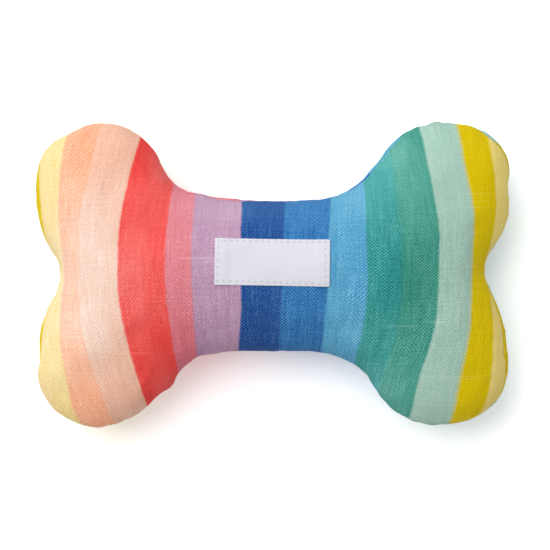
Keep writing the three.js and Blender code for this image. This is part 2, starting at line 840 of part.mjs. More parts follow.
// Filling: the shank's two wads round the squeaker, and one wad in each knuckle
const everywhere = overallLength;
const halfGap = clearance / 2;
const at = (x, y, z) => new THREE.Vector3(x, y, z);
const room = squeakerRoom();
const shank = shankForm(0);
const frontGap = 2 * clearance + labelThreadDiameter + wadClearance / 2;
const frontHalf = boxBetween(
  at(-everywhere, -everywhere, halfGap),
  at(everywhere, everywhere, everywhere),
);
const backHalf = boxBetween(
  at(-everywhere, -everywhere, -everywhere),
  at(everywhere, everywhere, -halfGap),
);
const filling = fillingMass(wadClearance);
const shankWads = [
  ["front_shank_wad", fillingMass(frontGap), frontHalf],
  ["back_shank_wad", filling, backHalf],
];
for (const [name, mass, half] of shankWads) {
  const wad = mainBody(mass.intersect(shank).intersect(half).subtract(room));
  addPiece(stuffed, name, geometryOf(wad), finishes.fibreFilling);
}
const knuckles = filling.subtract(shankForm(clearance));
for (const [side, sx] of [["left", -1], ["right", 1]]) {
  for (const [level, sy] of [["lower", -1], ["upper", 1]]) {
    const near = at(0, sy * halfGap, -everywhere);
    const far = at(sx * everywhere, sy * everywhere, everywhere);
    const quadrant = boxBetween(near.clone().min(far), near.clone().max(far));
    const wad = mainBody(knuckles.intersect(quadrant));
    addPiece(stuffed, `knuckle_wad_${level}_${side}`, geometryOf(wad), finishes.fibreFilling);
  }
}

// Squeaker
addPiece(squeaker, "squeaker_bulb", bulbGeometry(), finishes.softPlastic);
addPiece(squeaker, "squeaker_barrel", barrelGeometry(), finishes.rigidPlastic);
addPiece(squeaker, "tone_board", toneBoardGeometry(), finishes.rigidPlastic);
addPiece(squeaker, "reed", reedGeometry(), finishes.reedFilm);
const wedge = drawnOut(boreSegment(reedTop + clearance, 1), boardEnd - wedgeLength, boardEnd);
addPiece(squeaker, "reed_wedge", wedge, finishes.rigidPlastic);

export default toy;
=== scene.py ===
"""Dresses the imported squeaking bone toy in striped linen, thread, filling and plastic."""

import logging
import math
from dataclasses import dataclass, field
from enum import Enum

import bmesh
import bpy
import numpy as np
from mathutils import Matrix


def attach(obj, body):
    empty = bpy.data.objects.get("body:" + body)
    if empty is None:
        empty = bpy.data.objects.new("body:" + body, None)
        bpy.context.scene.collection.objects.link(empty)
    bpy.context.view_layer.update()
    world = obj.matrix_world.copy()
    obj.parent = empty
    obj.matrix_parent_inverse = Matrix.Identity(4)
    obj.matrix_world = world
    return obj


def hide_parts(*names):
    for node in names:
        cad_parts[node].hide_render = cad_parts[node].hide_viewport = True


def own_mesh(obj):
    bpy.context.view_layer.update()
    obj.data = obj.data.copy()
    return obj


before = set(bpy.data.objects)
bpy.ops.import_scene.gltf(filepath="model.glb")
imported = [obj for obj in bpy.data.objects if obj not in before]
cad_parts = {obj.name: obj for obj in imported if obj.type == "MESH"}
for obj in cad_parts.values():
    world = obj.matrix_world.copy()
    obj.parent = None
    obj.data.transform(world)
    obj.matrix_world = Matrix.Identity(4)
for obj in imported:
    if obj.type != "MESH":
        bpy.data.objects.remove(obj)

Array = np.ndarray
MM = 0.001
LOG = logging.getLogger("toy")
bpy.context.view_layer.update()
MIDDLE = 0.02625  # the level of the seam and of the squeaker's middle
TINY = 1e-12  # keeps a division by a length or an area away from zero


class Side(Enum):
    """The two faces of the toy, by the direction of their normals."""

    FRONT = 1.0
    BACK = -1.0


# Meshes from arrays


@dataclass
class Surface:
    """Vertices and faces as arrays, put together from grids."""

    points: list[Array] = field(default_factory=list)
    quads: list[Array] = field(default_factory=list)
    maps: list[Array] = field(default_factory=list)
    count: int = 0

    def add(self, points: Array, cloth: Array | None = None) -> Array:
        """Add a block of points.

        Args:
            points: Positions in metres, with any leading shape and a last axis of three.
            cloth: The two cloth coordinates of each point, or None where it has none.

        Returns:
            The indices of the points, in the block's leading shape.
        """
        flat = points.reshape(-1, 3)
        index = np.arange(self.count, self.count + len(flat)).reshape(points.shape[:-1])
        self.points.append(flat)
        self.maps.append(np.zeros((len(flat), 2)) if cloth is None else cloth.reshape(-1, 2))
        self.count += len(flat)
        return index

    def join(self, grid: Array, wrap: bool = False, flip: bool = False) -> None:
        """Cover a grid of indices with quads: each takes four neighbours, in order round it.

        Args:
            grid: Indices in rows and columns.
            wrap: Whether each row's last point is joined to its first.
            flip: Whether the faces point the other way.
        """
        if wrap:
            grid = np.concatenate([grid, grid[:, :1]], axis=1)
        quads = np.stack([grid[:-1, :-1], grid[1:, :-1], grid[1:, 1:], grid[:-1, 1:]], axis=-1)
        quads = quads.reshape(-1, 4)
        self.quads.append(quads[:, ::-1] if flip else quads)

    def trimmed(self) -> "Surface":
        """Return the same surface without the points that no face uses."""
        quads = np.concatenate(self.quads)
        used, compact = np.unique(quads, return_inverse=True)
        points = np.concatenate(self.points)[used]
        cloth = np.concatenate(self.maps)[used]
        return Surface([points], [compact.reshape(-1, 4)], [cloth], len(used))

    def build(self, name: str, merge: float = 0.0) -> bpy.types.Object:
        """Make the object, with its cloth coordinates in the map named cloth.

        Args:
            name: The piece's name.
            merge: The distance within which points are merged, or zero.

        Returns:
            The new object, at the origin.
        """
        points = np.concatenate(self.points)
        quads = np.concatenate(self.quads)
        mesh = bpy.data.meshes.new(name)
        mesh.vertices.add(len(points))
        mesh.vertices.foreach_set("co", points.astype(np.float32).ravel())
        mesh.loops.add(quads.size)
        mesh.loops.foreach_set("vertex_index", quads.astype(np.int32).ravel())
        mesh.polygons.add(len(quads))
        mesh.polygons.foreach_set("loop_start", np.arange(0, quads.size, 4, dtype=np.int32))
        mesh.update(calc_edges=True)
        layer = mesh.uv_layers.new(name="cloth")
        cloth = np.concatenate(self.maps)[quads.ravel()]
        layer.data.foreach_set("uv", cloth.astype(np.float32).ravel())
        if merge > 0:
            shape = bmesh.new()
            shape.from_mesh(mesh)
            bmesh.ops.remove_doubles(shape, verts=shape.verts, dist=merge)
            bmesh.ops.dissolve_degenerate(shape, edges=shape.edges, dist=merge)
            shape.to_mesh(mesh)
            shape.free()
        mesh.shade_smooth()
        return placed(name, mesh)


def placed(name: str, data: bpy.types.ID) -> bpy.types.Object:
    """Return a new object at the origin that holds a mesh, a lamp or a camera."""
    thing = bpy.data.objects.new(name, data)
    bpy.context.scene.collection.objects.link(thing)
    return thing


def applied(thing: bpy.types.Object) -> bpy.types.Object:
    """Replace an object's mesh by what its modifiers make of it, and return the object."""
    shown = thing.evaluated_get(bpy.context.evaluated_depsgraph_get())
    mesh = bpy.data.meshes.new_from_object(shown)
    thing.modifiers.clear()
    thing.data = mesh
    mesh.shade_smooth()
    return thing


def vertices(mesh: bpy.types.Mesh) -> Array:
    """Return a mesh's vertex positions, one row each."""
    flat = np.empty(len(mesh.vertices) * 3, np.float32)
    mesh.vertices.foreach_get("co", flat)
    return flat.reshape(-1, 3).astype(float)


def unit(vectors: Array) -> Array:
    """Return the vectors, each divided by its length."""
    return vectors / np.maximum(np.linalg.norm(vectors, axis=-1, keepdims=True), TINY)


def stations(line: Array) -> Array:
    """Return how far each point lies along its line, which runs down the first axis."""
    steps = np.linalg.norm(np.diff(line, axis=0), axis=-1)
    return np.concatenate([np.zeros_like(steps[:1]), np.cumsum(steps, axis=0)])


def resampled(line: Array, known: Array, at: Array) -> Array:
    """Return a line's points at new stations, straight between those at its known ones."""
    return np.stack([np.interp(at, known, column) for column in line.T], axis=1)


def crosses(points: Array, triangles: Array) -> Array:
    """Return each triangle's normal, as long as twice its area."""
    corner = points[triangles]
    return np.cross(corner[:, 1] - corner[:, 0], corner[:, 2] - corner[:, 0])


def around(line: Array) -> Array:
    """Return the directions along a closed line, each from the point before to the one after."""
    return unit(np.roll(line, -1, axis=0) - np.roll(line, 1, axis=0))


def sample(grid: Array, i: Array, j: Array) -> Array:
    """Return a grid's values between its points, bilinear in the two indices."""
    rows, columns = grid.shape[:2]
    a = np.clip(np.floor(i).astype(int), 0, rows - 2)
    b = np.clip(np.floor(j).astype(int), 0, columns - 2)
    s = (i - a)[..., None]
    t = (j - b)[..., None]
    value = grid if grid.ndim == 3 else grid[..., None]
    low = value[a, b] * (1 - s) + value[a + 1, b] * s
    high = value[a, b + 1] * (1 - s) + value[a + 1, b + 1] * s
    mixed = low * (1 - t) + high * t
    return mixed if grid.ndim == 3 else mixed[..., 0]


@dataclass(frozen=True)
class Lumps:
    """A soft, seeded unevenness: a sum of plane waves in random directions."""

    height: float
    shortest: float
    longest: float
    seed: int
    waves: int = 24

    def at(self, points: Array) -> Array:
        """Return the unevenness: a scaled sum of cosines of position times wave vector plus phase.

        Args:
            points: Positions in metres, with a last axis of three.

        Returns:
            Heights in metres, in the points' leading shape.
        """
        chance = np.random.default_rng(self.seed)
        direction = unit(chance.normal(size=(self.waves, 3)))
        length = np.exp(chance.uniform(math.log(self.shortest), math.log(self.longest), self.waves))
        vector = direction * (2 * math.pi / length)[:, None]
        phase = chance.uniform(0, 2 * math.pi, self.waves)
        total = np.cos(points @ vector.T + phase).sum(axis=-1)
        return self.height * total * math.sqrt(2 / self.waves)


# The sewn outline


@dataclass(frozen=True)
class Bump:
    """A stretch of seam that the filling pushes out, or that the thread draws in."""

    station: float
    height: float
    reach: float


@dataclass(frozen=True)
class Quarter:
    """A quarter of the sewn outline, as tangent arcs from the middle of the shank to the notch."""

    shank_half_width: float
    hollow_radius: float
    throat_radius: float
    knuckle: tuple[float, float]
    knuckle_radius: float
    end_radius: float
    notch_x: float
    notch_radius: float
    bumps: tuple[Bump, ...]
    arc_steps: int = 90
    corner_reach: float = 1.3

    @staticmethod
    def meeting(a: Array, from_a: float, b: Array, from_b: float, side: float) -> Array:
        """Return the point at the two given distances from a and b, on one side of their line.

        Args:
            a: The first point.
            from_a: The distance from it.
            b: The second point.
            from_b: The distance from it.
            side: 1 for the left of the way from a to b, -1 for the right.

        Returns:
            The point.
        """
        between = b - a
        length = float(np.hypot(*between))
        along = (from_a**2 - from_b**2 + length**2) / (2 * length)
        off = math.sqrt(max(from_a**2 - along**2, 0.0)) * side
        way = between / length
        return a + way * along + np.array([-way[1], way[0]]) * off

    def arc(self, centre: Array, radius: float, start: Array, end: Array) -> Array:
        """Return a circle's shorter arc: centre plus radius at bearings from start's to end's."""
        first = math.atan2(start[1] - centre[1], start[0] - centre[0])
        last = math.atan2(end[1] - centre[1], end[0] - centre[0])
        turn = (last - first + math.pi) % (2 * math.pi) - math.pi
        bearing = first + turn * np.linspace(0, 1, self.arc_steps)
        return centre + radius * np.stack([np.cos(bearing), np.sin(bearing)], axis=1)

    def line(self) -> Array:
        """Return the quarter's points, moved out along the normal by the bumps' Gaussians."""
        knuckle = np.array(self.knuckle)
        shank = np.array([0.0, self.shank_half_width + self.hollow_radius])
        throat = self.meeting(
            knuckle, self.knuckle_radius + self.throat_radius,
            shank, self.hollow_radius - self.throat_radius, 1.0,
        )
        notch = np.array([self.notch_x + self.notch_radius, 0.0])
        end = self.meeting(
            knuckle, self.end_radius - self.knuckle_radius,
            notch, self.end_radius + self.notch_radius, -1.0,
        )
        joins = [
            np.array([0.0, self.shank_half_width]),
            shank + unit(throat - shank) * self.hollow_radius,
            throat + unit(knuckle - throat) * self.throat_radius,
            end + unit(knuckle - end) * self.end_radius,
            notch + unit(end - notch) * self.notch_radius,
            np.array([self.notch_x, 0.0]),
        ]
        arcs = [
            (shank, self.hollow_radius),
            (throat, self.throat_radius),
            (knuckle, self.knuckle_radius),
            (end, self.end_radius),
            (notch, self.notch_radius),
        ]
        runs = [self.arc(c, r, joins[k], joins[k + 1]) for k, (c, r) in enumerate(arcs)]
        line = np.concatenate([run[min(k, 1):] for k, run in enumerate(runs)])
        station = stations(line)
        along = unit(np.gradient(line, axis=0))
        outward = np.stack([-along[:, 1], along[:, 0]], axis=1)
        push = np.zeros(len(line))
        for bump in self.bumps:
            push += bump.height * np.exp(-(((station - bump.station) / bump.reach) ** 2))
        return line + outward * push[:, None]

    def corner(self, line: Array) -> int:
        """Return the index of the point at 45 degrees on the knuckle."""
        off = line - np.array(self.knuckle)
        bearing = np.arctan2(off[:, 1], off[:, 0])
        near = np.hypot(*off.T) < self.knuckle_radius * self.corner_reach
        return int(np.argmin(np.where(near, np.abs(bearing - math.pi / 4), math.pi)))


@dataclass(frozen=True)
class Outline:
    """The toy's outline from above, in four quarters that differ a little, as sewn."""

    upper_left: Quarter = Quarter(
        0.0359, 0.313, 0.0308, (0.0832, 0.0414), 0.03145, 0.0656, 0.1030, 0.0192,
        (
            Bump(0.034, 0.0008, 0.006), Bump(0.050, -0.0004, 0.006), Bump(0.092, 0.0004, 0.007),
            Bump(0.112, -0.0014, 0.008), Bump(0.127, 0.0010, 0.006),
        ),
    )
    lower_left: Quarter = Quarter(
        0.0373, 0.880, 0.0461, (0.0830, 0.0430), 0.0308, 0.0815, 0.1030, 0.0229,
        (
            Bump(0.035, -0.0013, 0.006), Bump(0.056, 0.0028, 0.008), Bump(0.084, -0.0012, 0.014),
            Bump(0.125, 0.0009, 0.008), Bump(0.147, -0.0012, 0.007),
        ),
    )
    upper_right: Quarter = Quarter(
        0.0359, 0.416, 0.0412, (0.0822, 0.0412), 0.0331, 0.0624, 0.1022, 0.0181,
        (
            Bump(0.054, 0.0010, 0.009), Bump(0.085, -0.0006, 0.006), Bump(0.099, -0.0011, 0.007),
            Bump(0.125, 0.0020, 0.009), Bump(0.149, -0.0019, 0.008),
        ),
    )
    lower_right: Quarter = Quarter(
        0.0373, 0.885, 0.0381, (0.0802, 0.0394), 0.0336, 0.1202, 0.1022, 0.0119,
        (
            Bump(0.055, 0.0008, 0.006), Bump(0.095, -0.0008, 0.009), Bump(0.124, 0.0016, 0.009),
            Bump(0.151, -0.0008, 0.007),
        ),
    )
    smoothing: float = 0.0012
    notch_lift: float = 0.0014
    notch_lift_reach: float = 0.025
    notch_lift_from_x: float = 0.06

    @staticmethod
    def even(line: Array, count: int) -> Array:
        """Return points at even distances along a line, its two ends included."""
        station = stations(line)
        return resampled(line, station, np.linspace(0.0, station[-1], count))

    def ring(self, across: int, up: int) -> Array:
        """Return the closed outline, anticlockwise from the lower left knuckle's corner.

        The quarters are mirrored into place, joined, sampled evenly between the four knuckles'
        corners and smoothed by a Gaussian along the line.

        Args:
            across: Steps between the corners along the two long sides.
            up: Steps between the corners along the two ends.

        Returns:
            The points, without a repeat of the first.
        """
        placed_lines = []
        for quarter, x, y in (
            (self.lower_left, -1, -1), (self.lower_right, 1, -1),
            (self.upper_right, 1, 1), (self.upper_left, -1, 1),
        ):
            line = quarter.line()
            placed_lines.append((line * np.array([x, y]), quarter.corner(line)))
        (ll, a), (lr, b), (ur, c), (ul, d) = placed_lines
        sides = [
            (np.concatenate([ll[a::-1], lr[1:b + 1]]), across),
            (np.concatenate([lr[b:], ur[-2:c - 1:-1]]), up),
            (np.concatenate([ur[c::-1], ul[1:d + 1]]), across),
            (np.concatenate([ul[d:], ll[-2:a - 1:-1]]), up),
        ]
        ring = np.concatenate([self.even(line, count + 1)[:-1] for line, count in sides])
        step = np.hypot(*(np.roll(ring, -1, axis=0) - ring).T).mean()
        wave = np.fft.fftfreq(len(ring), step)
        kept = np.exp(-2 * (math.pi * wave * self.smoothing) ** 2)
        ring = np.stack([np.fft.ifft(np.fft.fft(ring[:, k]) * kept).real for k in range(2)], axis=1)
        near = np.exp(-((ring[:, 1] / self.notch_lift_reach) ** 2))
        ring[:, 1] += self.notch_lift * near * (ring[:, 0] > self.notch_lift_from_x)
        return ring


# Sparse solves on triangles


@dataclass
class Weave:
    """Cotangent weights of a triangle mesh, for a film's sag and for the cloth's coordinates."""

    points: Array
    triangles: Array
    most_steps: int = 4000

    def __post_init__(self) -> None:
        """Work out each corner's half cotangent, for the edge opposite it."""
        corner = self.points[self.triangles]
        self.starts = self.triangles[:, [1, 2, 0]].ravel()
        self.ends = self.triangles[:, [2, 0, 1]].ravel()
        first = corner[:, [1, 2, 0]] - corner
        second = corner[:, [2, 0, 1]] - corner
        cross = np.cross(first, second)
        if cross.ndim == 3:
            cross = np.linalg.norm(cross, axis=-1)
        self.twice_area = np.abs(cross[:, 0])
        dot = (first * second).sum(axis=-1)
        self.weights = (dot / np.maximum(np.abs(cross), TINY) / 2).ravel()
        self.size = len(self.points)

    def laplacian(self, values: Array) -> Array:
        """Return each point's weighted sum of differences to its neighbours."""
        flow = self.weights * (values[self.starts] - values[self.ends])
        return np.bincount(self.starts, flow, self.size) - np.bincount(self.ends, flow, self.size)

    def areas(self) -> Array:
        """Return the share of the area that each point holds: a third of its triangles'."""
        share = np.repeat(self.twice_area / 6, 3)
        return np.bincount(self.triangles.ravel(), share, self.size)

    def solve(self, load: Array, free: Array, tolerance: float = 1e-9) -> Array:
        """Solve laplacian(values) = load by conjugate gradients, with held points at zero.

        Args:
            load: The right side at each point.
            free: One for a free point and zero for a held one.
            tolerance: The share of the first residual at which the solve ends.

        Returns:
            The values.
        """
        spread = np.abs(self.weights)
        diagonal = np.bincount(self.starts, spread, self.size)
        diagonal += np.bincount(self.ends, spread, self.size)
        scale = free / np.maximum(diagonal, TINY)
        values = np.zeros(self.size)
        rest = load * free
        step = scale * rest
        way = step.copy()
        size = rest @ step
        first = size
        for _ in range(self.most_steps):
            pushed = self.laplacian(way) * free
            share = size / (way @ pushed)
            values += share * way
            rest -= share * pushed
            step = scale * rest
            new = rest @ step
            if new < first * tolerance**2:
                break
            way = step + way * (new / size)
            size = new
        return values


def halves(grid: Array, wrap: bool = False) -> Array:
    """Return two triangles for each cell of a grid of indices."""
    if wrap:
        grid = np.concatenate([grid, grid[:, :1]], axis=1)
    a, b, c, d = grid[:-1, :-1], grid[1:, :-1], grid[1:, 1:], grid[:-1, 1:]
    lower = np.stack([a, b, c], axis=-1).reshape(-1, 3)
    upper = np.stack([a, c, d], axis=-1).reshape(-1, 3)
    return np.concatenate([lower, upper])


# The stuffed body


@dataclass(frozen=True)
class Spot:
    """A Gaussian about a place on the plan: how high it is there, and how far it reaches."""

    x: float
    y: float
    height: float
    reach: float

    def at(self, points: Array) -> Array:
        """Return the Gaussian's height over or under each point."""
        off = points[:, :2] - np.array([self.x, self.y])
        return self.height * np.exp(-(off**2).sum(axis=1) / self.reach**2)


@dataclass
class Skin:
    """One panel's outer face: an inner grid, and rings from the seam in to the grid's edge."""

    side: Side
    points: Array
    grid: Array
    rings: Array
    cloth: Array

    def triangles(self) -> Array:
        """Return the face's triangles, which point outwards."""
        found = np.concatenate([halves(self.grid), halves(self.rings[::-1], wrap=True)])
        return found if self.side is Side.FRONT else found[:, ::-1]

    def normals(self) -> Array:
        """Return each point's normal: the mean of its triangles', weighted by their areas."""
        triangles = self.triangles()
        face = crosses(self.points, triangles)
        total = np.zeros_like(self.points)
        for axis in range(3):
            pull = np.repeat(face[:, axis], 3)
            total[:, axis] = np.bincount(triangles.ravel(), pull, len(self.points))
        return unit(total)

    def seam_distance(self) -> Array:
        """Return each ring's distance from the seam, measured over the surface."""
        return stations(self.points[self.rings])

    def find(self, x: Array, y: Array, steps: int = 12) -> tuple[Array, Array]:
        """Find points of the inner grid from above, by repeated linear steps in its indices.

        Args:
            x: The points' places along the toy.
            y: The points' places across it.
            steps: How many steps are taken.

        Returns:
            The fractional row and column of each point.
        """
        plan = self.points[self.grid][..., :2]
        rows, columns = self.grid.shape
        i = np.full(np.shape(x), (rows - 1) / 2)
        j = np.full(np.shape(x), (columns - 1) / 2)
        for _ in range(steps):
            here = sample(plan, i, j)
            a = sample(plan, np.clip(i + 0.5, 0, rows - 1), j)
            b = sample(plan, np.clip(i - 0.5, 0, rows - 1), j)
            c = sample(plan, i, np.clip(j + 0.5, 0, columns - 1))
            d = sample(plan, i, np.clip(j - 0.5, 0, columns - 1))
            along, up = a - b, c - d
            off = np.stack([x, y], axis=-1) - here
            area = along[..., 0] * up[..., 1] - along[..., 1] * up[..., 0]
            i = i + (off[..., 0] * up[..., 1] - off[..., 1] * up[..., 0]) / area
            j = j + (along[..., 0] * off[..., 1] - along[..., 1] * off[..., 0]) / area
            i = np.clip(i, 0, rows - 1)
            j = np.clip(j, 0, columns - 1)
        return i, j


def loop_of(grid: Array) -> Array:
    """Return the edge of a grid as one closed ring, anticlockwise from its first corner."""
    return np.concatenate([grid[:-1, 0], grid[-1, :-1], grid[:0:-1, -1], grid[0, :0:-1]])


@dataclass
class StuffedBody:
    """The two panels, sewn together and stuffed tight.

    A roll turns the seam up or down by a share of the rim's height, so that more or less of the
    back panel shows from above. A tug is a place where the stuffing has pulled the stripes along.
    """

    outline: Outline = Outline()
    across: int = 120
    up: int = 60
    most: float = 0.02695
    swell_power: float = 0.43
    rim_depth: float = 0.0073
    film_rings: int = 5
    skin_rings: int = 12
    ring_crowding: float = 1.7
    relaxing: int = 30
    groove_depth: float = 0.0009
    groove_reach: float = 0.0013
    seam_gap: float = 0.00006
    cloth_thickness: float = 0.0009
    seam_allowance: float = 0.006
    fold_inset: float = 0.0003
    lining_inset: float = 0.0024
    allowance: tuple[tuple[float, float], ...] = (
        (0.02, 0), (0.35, 0), (0.7, 0), (0.97, 0), (1.0, 0.5), (0.97, 1), (0.6, 1), (0.2, 1.1),
    )
    pucker_height: float = 0.00022
    pucker_reach: float = 0.006
    lump_reach: float = 0.006
    rest_softness: float = 0.0003
    swell_cap: float = 0.0025
    sink_cap: float = 0.0005
    cloth_frames: int = 20
    rolls: tuple[Spot, ...] = (
        Spot(-0.024, 0.036, 0.27, 0.010),
        Spot(0.048, 0.048, 0.28, 0.010),
        Spot(0.062, 0.065, 0.32, 0.010),
        Spot(0.105, 0.063, 0.56, 0.010),
        Spot(0.104, -0.012, 0.40, 0.009),
        Spot(0.112, -0.036, 0.50, 0.014),
        Spot(-0.060, -0.062, -0.25, 0.02),
        Spot(0.020, -0.037, -0.2, 0.02),
    )
    lean_slope: tuple[float, ...] = (-0.0040, -0.0088, 0.0125, 0.0067, -0.0094)
    lean_bend: tuple[float, ...] = (0.0037, 0.0600, -0.0261, -0.0501, 0.0246)
    tugs: tuple[Spot, ...] = (
        Spot(0.080, -0.048, 0.0017, 0.017),
        Spot(0.096, 0.056, 0.0015, 0.015),
        Spot(-0.024, -0.006, -0.0011, 0.020),
        Spot(0.024, 0.038, -0.0013, 0.014),
        Spot(0.040, 0.016, 0.0010, 0.014),
        Spot(-0.088, 0.008, -0.0008, 0.014),
        Spot(0.078, -0.070, -0.0020, 0.012),
        Spot(-0.104, -0.048, -0.0020, 0.014),
        Spot(0.064, -0.024, -0.0015, 0.020),
        Spot(0.104, -0.056, -0.0015, 0.014),
        Spot(0.088, 0.024, -0.0011, 0.014),
        Spot(-0.088, 0.048, -0.0013, 0.014),
        Spot(-0.088, -0.016, 0.0009, 0.014),
        Spot(-0.016, -0.018, -0.0007, 0.010),
    )
    back_shift: float = 0.0225
    throat_turn: float = 0.35
    throat_hold: float = 0.9
    steepest: float = -0.9
    cloth_tolerance: float = 1e-6
    lumps: Lumps = Lumps(0.0003, 0.018, 0.034, 11)
    puckers: Lumps = Lumps(1.0, 0.0048, 0.0085, 12)

    def shape(self) -> None:
        """Work out the plan, the film, the swollen faces and the cloth's coordinates."""
        self.ring = self.outline.ring(self.across, self.up)
        along = around(self.ring)
        self.outward = np.stack([along[:, 1], -along[:, 0]], axis=1)
        self.plan = self.filled(self.ring - self.outward * self.rim_depth)
        self.solve_film()
        self.roll = sum(spot.at(self.ring) for spot in self.rolls)
        self.skins = {side: self.skin(side) for side in Side}
        self.swell()
        for skin in self.skins.values():
            self.settle(skin)
            self.lay_cloth(skin)

    def filled(self, loop: Array) -> Array:
        """Fill a closed ring with a grid of points.

        A point lies on the line from its column's foot to its head, at the share of the height
        that the two end columns give, and moves out with the ends' bulge. Then the grid is
        evened by a few rounds of averages of neighbours.

        Args:
            loop: The closed ring, anticlockwise from the lower left corner.

        Returns:
            The grid, rows along the toy and columns across it.
        """
        n, m = self.across, self.up
        foot = loop[:n + 1]
        head = loop[n + m:2 * n + m + 1][::-1]
        right = loop[n:n + m + 1]
        left = np.concatenate([loop[2 * n + m:], loop[:1]])[::-1]
        u = np.linspace(0, 1, n + 1)[:, None, None]
        left_share = ((left[:, 1] - left[0, 1]) / (left[-1, 1] - left[0, 1]))[None, :, None]
        right_share = ((right[:, 1] - right[0, 1]) / (right[-1, 1] - right[0, 1]))[None, :, None]
        share = left_share * (1 - u) + right_share * u
        grid = foot[:, None] + (head - foot)[:, None] * share
        bulge_left = left - (left[0] + (left[-1] - left[0]) * left_share[0])
        bulge_right = right - (right[0] + (right[-1] - right[0]) * right_share[0])
        grid = grid + bulge_left[None] * np.maximum(0, 1 - 2 * u)
        grid = grid + bulge_right[None] * np.maximum(0, 2 * u - 1)
        for _ in range(self.relaxing):
            near = grid[:-2, 1:-1] + grid[2:, 1:-1] + grid[1:-1, :-2] + grid[1:-1, 2:]
            grid[1:-1, 1:-1] = near / 4
        return grid

    def solve_film(self) -> None:
        """Find the sag of a film held at the outline under an even load, at every point."""
        size = (self.across + 1) * (self.up + 1)
        grid = np.arange(size).reshape(self.across + 1, self.up + 1)
        depths = np.arange(self.film_rings) * self.rim_depth / self.film_rings
        rim = self.ring[None] - self.outward[None] * depths[:, None, None]
        index = size + np.arange(rim[..., 0].size).reshape(rim.shape[:2])
        rings = np.concatenate([index, loop_of(grid)[None]])
        points = np.concatenate([self.plan.reshape(-1, 2), rim.reshape(-1, 2)])
        weave = Weave(points, np.concatenate([halves(grid), halves(rings, wrap=True)]))
        free = np.ones(len(points))
        free[rings[0]] = 0
        sag = weave.solve(weave.areas(), free)
        self.most_sag = sag.max()
        self.grid_height = self.most * (sag[grid] / self.most_sag) ** self.swell_power
        depths = np.arange(1, self.film_rings + 1) * self.rim_depth / self.film_rings
        self.rim_slope = sag[rings[1:]] / depths[:, None]

    def rim_height(self, depth: Array) -> Array:
        """Return the half height at a depth in from the outline, for each point of the ring.

        The sag is the depth times a slope that changes evenly between the film's rings.
        """
        at = depth / self.rim_depth * self.film_rings - 1
        columns = np.arange(len(depth)).astype(float)
        slope = sample(self.rim_slope, at, columns)
        return self.most * (np.maximum(slope * depth, 0) / self.most_sag) ** self.swell_power

    def rim_points(self, share: Array) -> Array:
        """Return a ring of the rim at a share of its height, from -1 below to 1 above.

        The depth in from the outline is the rim's depth times the share's size to the power
        1 / swell_power, so equal steps of the share are equal steps of height.
        """
        depth = self.rim_depth * np.abs(share) ** (1 / self.swell_power)
        place = self.ring - self.outward * depth[:, None]
        height = MIDDLE + np.sign(share) * self.rim_height(depth)
        return np.concatenate([place, height[:, None]], axis=1)

    def skin(self, side: Side) -> Skin:
        """Return a panel's outer face before it swells: the grid and the rings to the seam."""
        shares = (np.arange(self.skin_rings) / self.skin_rings) ** self.ring_crowding
        rings = [self.rim_points(self.roll + (side.value - self.roll) * s) for s in shares]
        height = MIDDLE + side.value * self.grid_height
        inner = np.concatenate([self.plan, height[..., None]], axis=-1)
        size = inner[..., 0].size
        grid = np.arange(size).reshape(inner.shape[:2])
        index = size + np.arange(self.skin_rings * len(self.ring)).reshape(self.skin_rings, -1)
        points = np.concatenate([inner.reshape(-1, 3), np.concatenate(rings)])
        rings_index = np.concatenate([index, loop_of(grid)[None]])
        return Skin(side, points, grid, rings_index, np.zeros((len(points), 2)))

    def hull(self, name: str) -> tuple[bpy.types.Object, Array]:
        """Make a closed mesh of both faces, joined along the seam.

        Args:
            name: The object's name.

        Returns:
            The object, and the index of each of its vertices in the front's and back's points.
        """
        front, back = self.skins[Side.FRONT], self.skins[Side.BACK]
        shift = len(front.points)
        target = np.arange(shift, shift + len(back.points))
        target[back.rings[0]] = front.rings[0]
        points = np.concatenate([front.points, back.points])
        triangles = np.concatenate([front.triangles(), target[back.triangles()]])
        used, compact = np.unique(triangles, return_inverse=True)
        mesh = bpy.data.meshes.new(name)
        mesh.from_pydata(points[used].tolist(), [], compact.reshape(-1, 3).tolist())
        return placed(name, mesh), used

    def swell(self) -> None:
        """Blow both faces up a little as cloth held at the seam, by Blender's Cloth."""
        front, back = self.skins[Side.FRONT], self.skins[Side.BACK]
        shift = len(front.points)
        points = np.concatenate([front.points, back.points])
        thing, used = self.hull("swelling")
        held = thing.vertex_groups.new(name="seam")
        held.add(np.searchsorted(used, front.rings[0]).tolist(), 1.0, "REPLACE")
        cloth = thing.modifiers.new("Cloth", "CLOTH")
        made = cloth.settings
        made.quality = 5
        made.mass = 0.3
        made.vertex_group_mass = "seam"
        made.use_pressure = True
        made.uniform_pressure_force = 4.0
        made.effector_weights.gravity = 0.0
        made.tension_stiffness = made.compression_stiffness = 15.0
        made.shear_stiffness = 8.0
        made.bending_stiffness = 0.8
        made.shrink_min = -0.02
        cloth.collision_settings.use_collision = False
        cloth.collision_settings.use_self_collision = False
        cloth.point_cache.frame_start = 1
        cloth.point_cache.frame_end = self.cloth_frames
        scene = bpy.context.scene
        for step in range(1, self.cloth_frames + 1):
            scene.frame_set(step)
        shown = thing.evaluated_get(bpy.context.evaluated_depsgraph_get())
        moved = vertices(shown.to_mesh()) - points[used]
        shown.to_mesh_clear()
        bpy.data.objects.remove(thing)
        scene.frame_set(1)
        outward = np.concatenate([front.normals(), back.normals()])[used]
        along = (moved * outward).sum(axis=1, keepdims=True)
        moved += outward * (np.maximum(along, -self.sink_cap) - along)
        size = np.linalg.norm(moved, axis=1, keepdims=True)
        LOG.info("cloth moved %.2f mm on average, %.2f at most", size.mean() / MM, size.max() / MM)
        moved = moved * self.swell_cap / (size + self.swell_cap)
        full = np.zeros_like(points)
        full[used] = moved
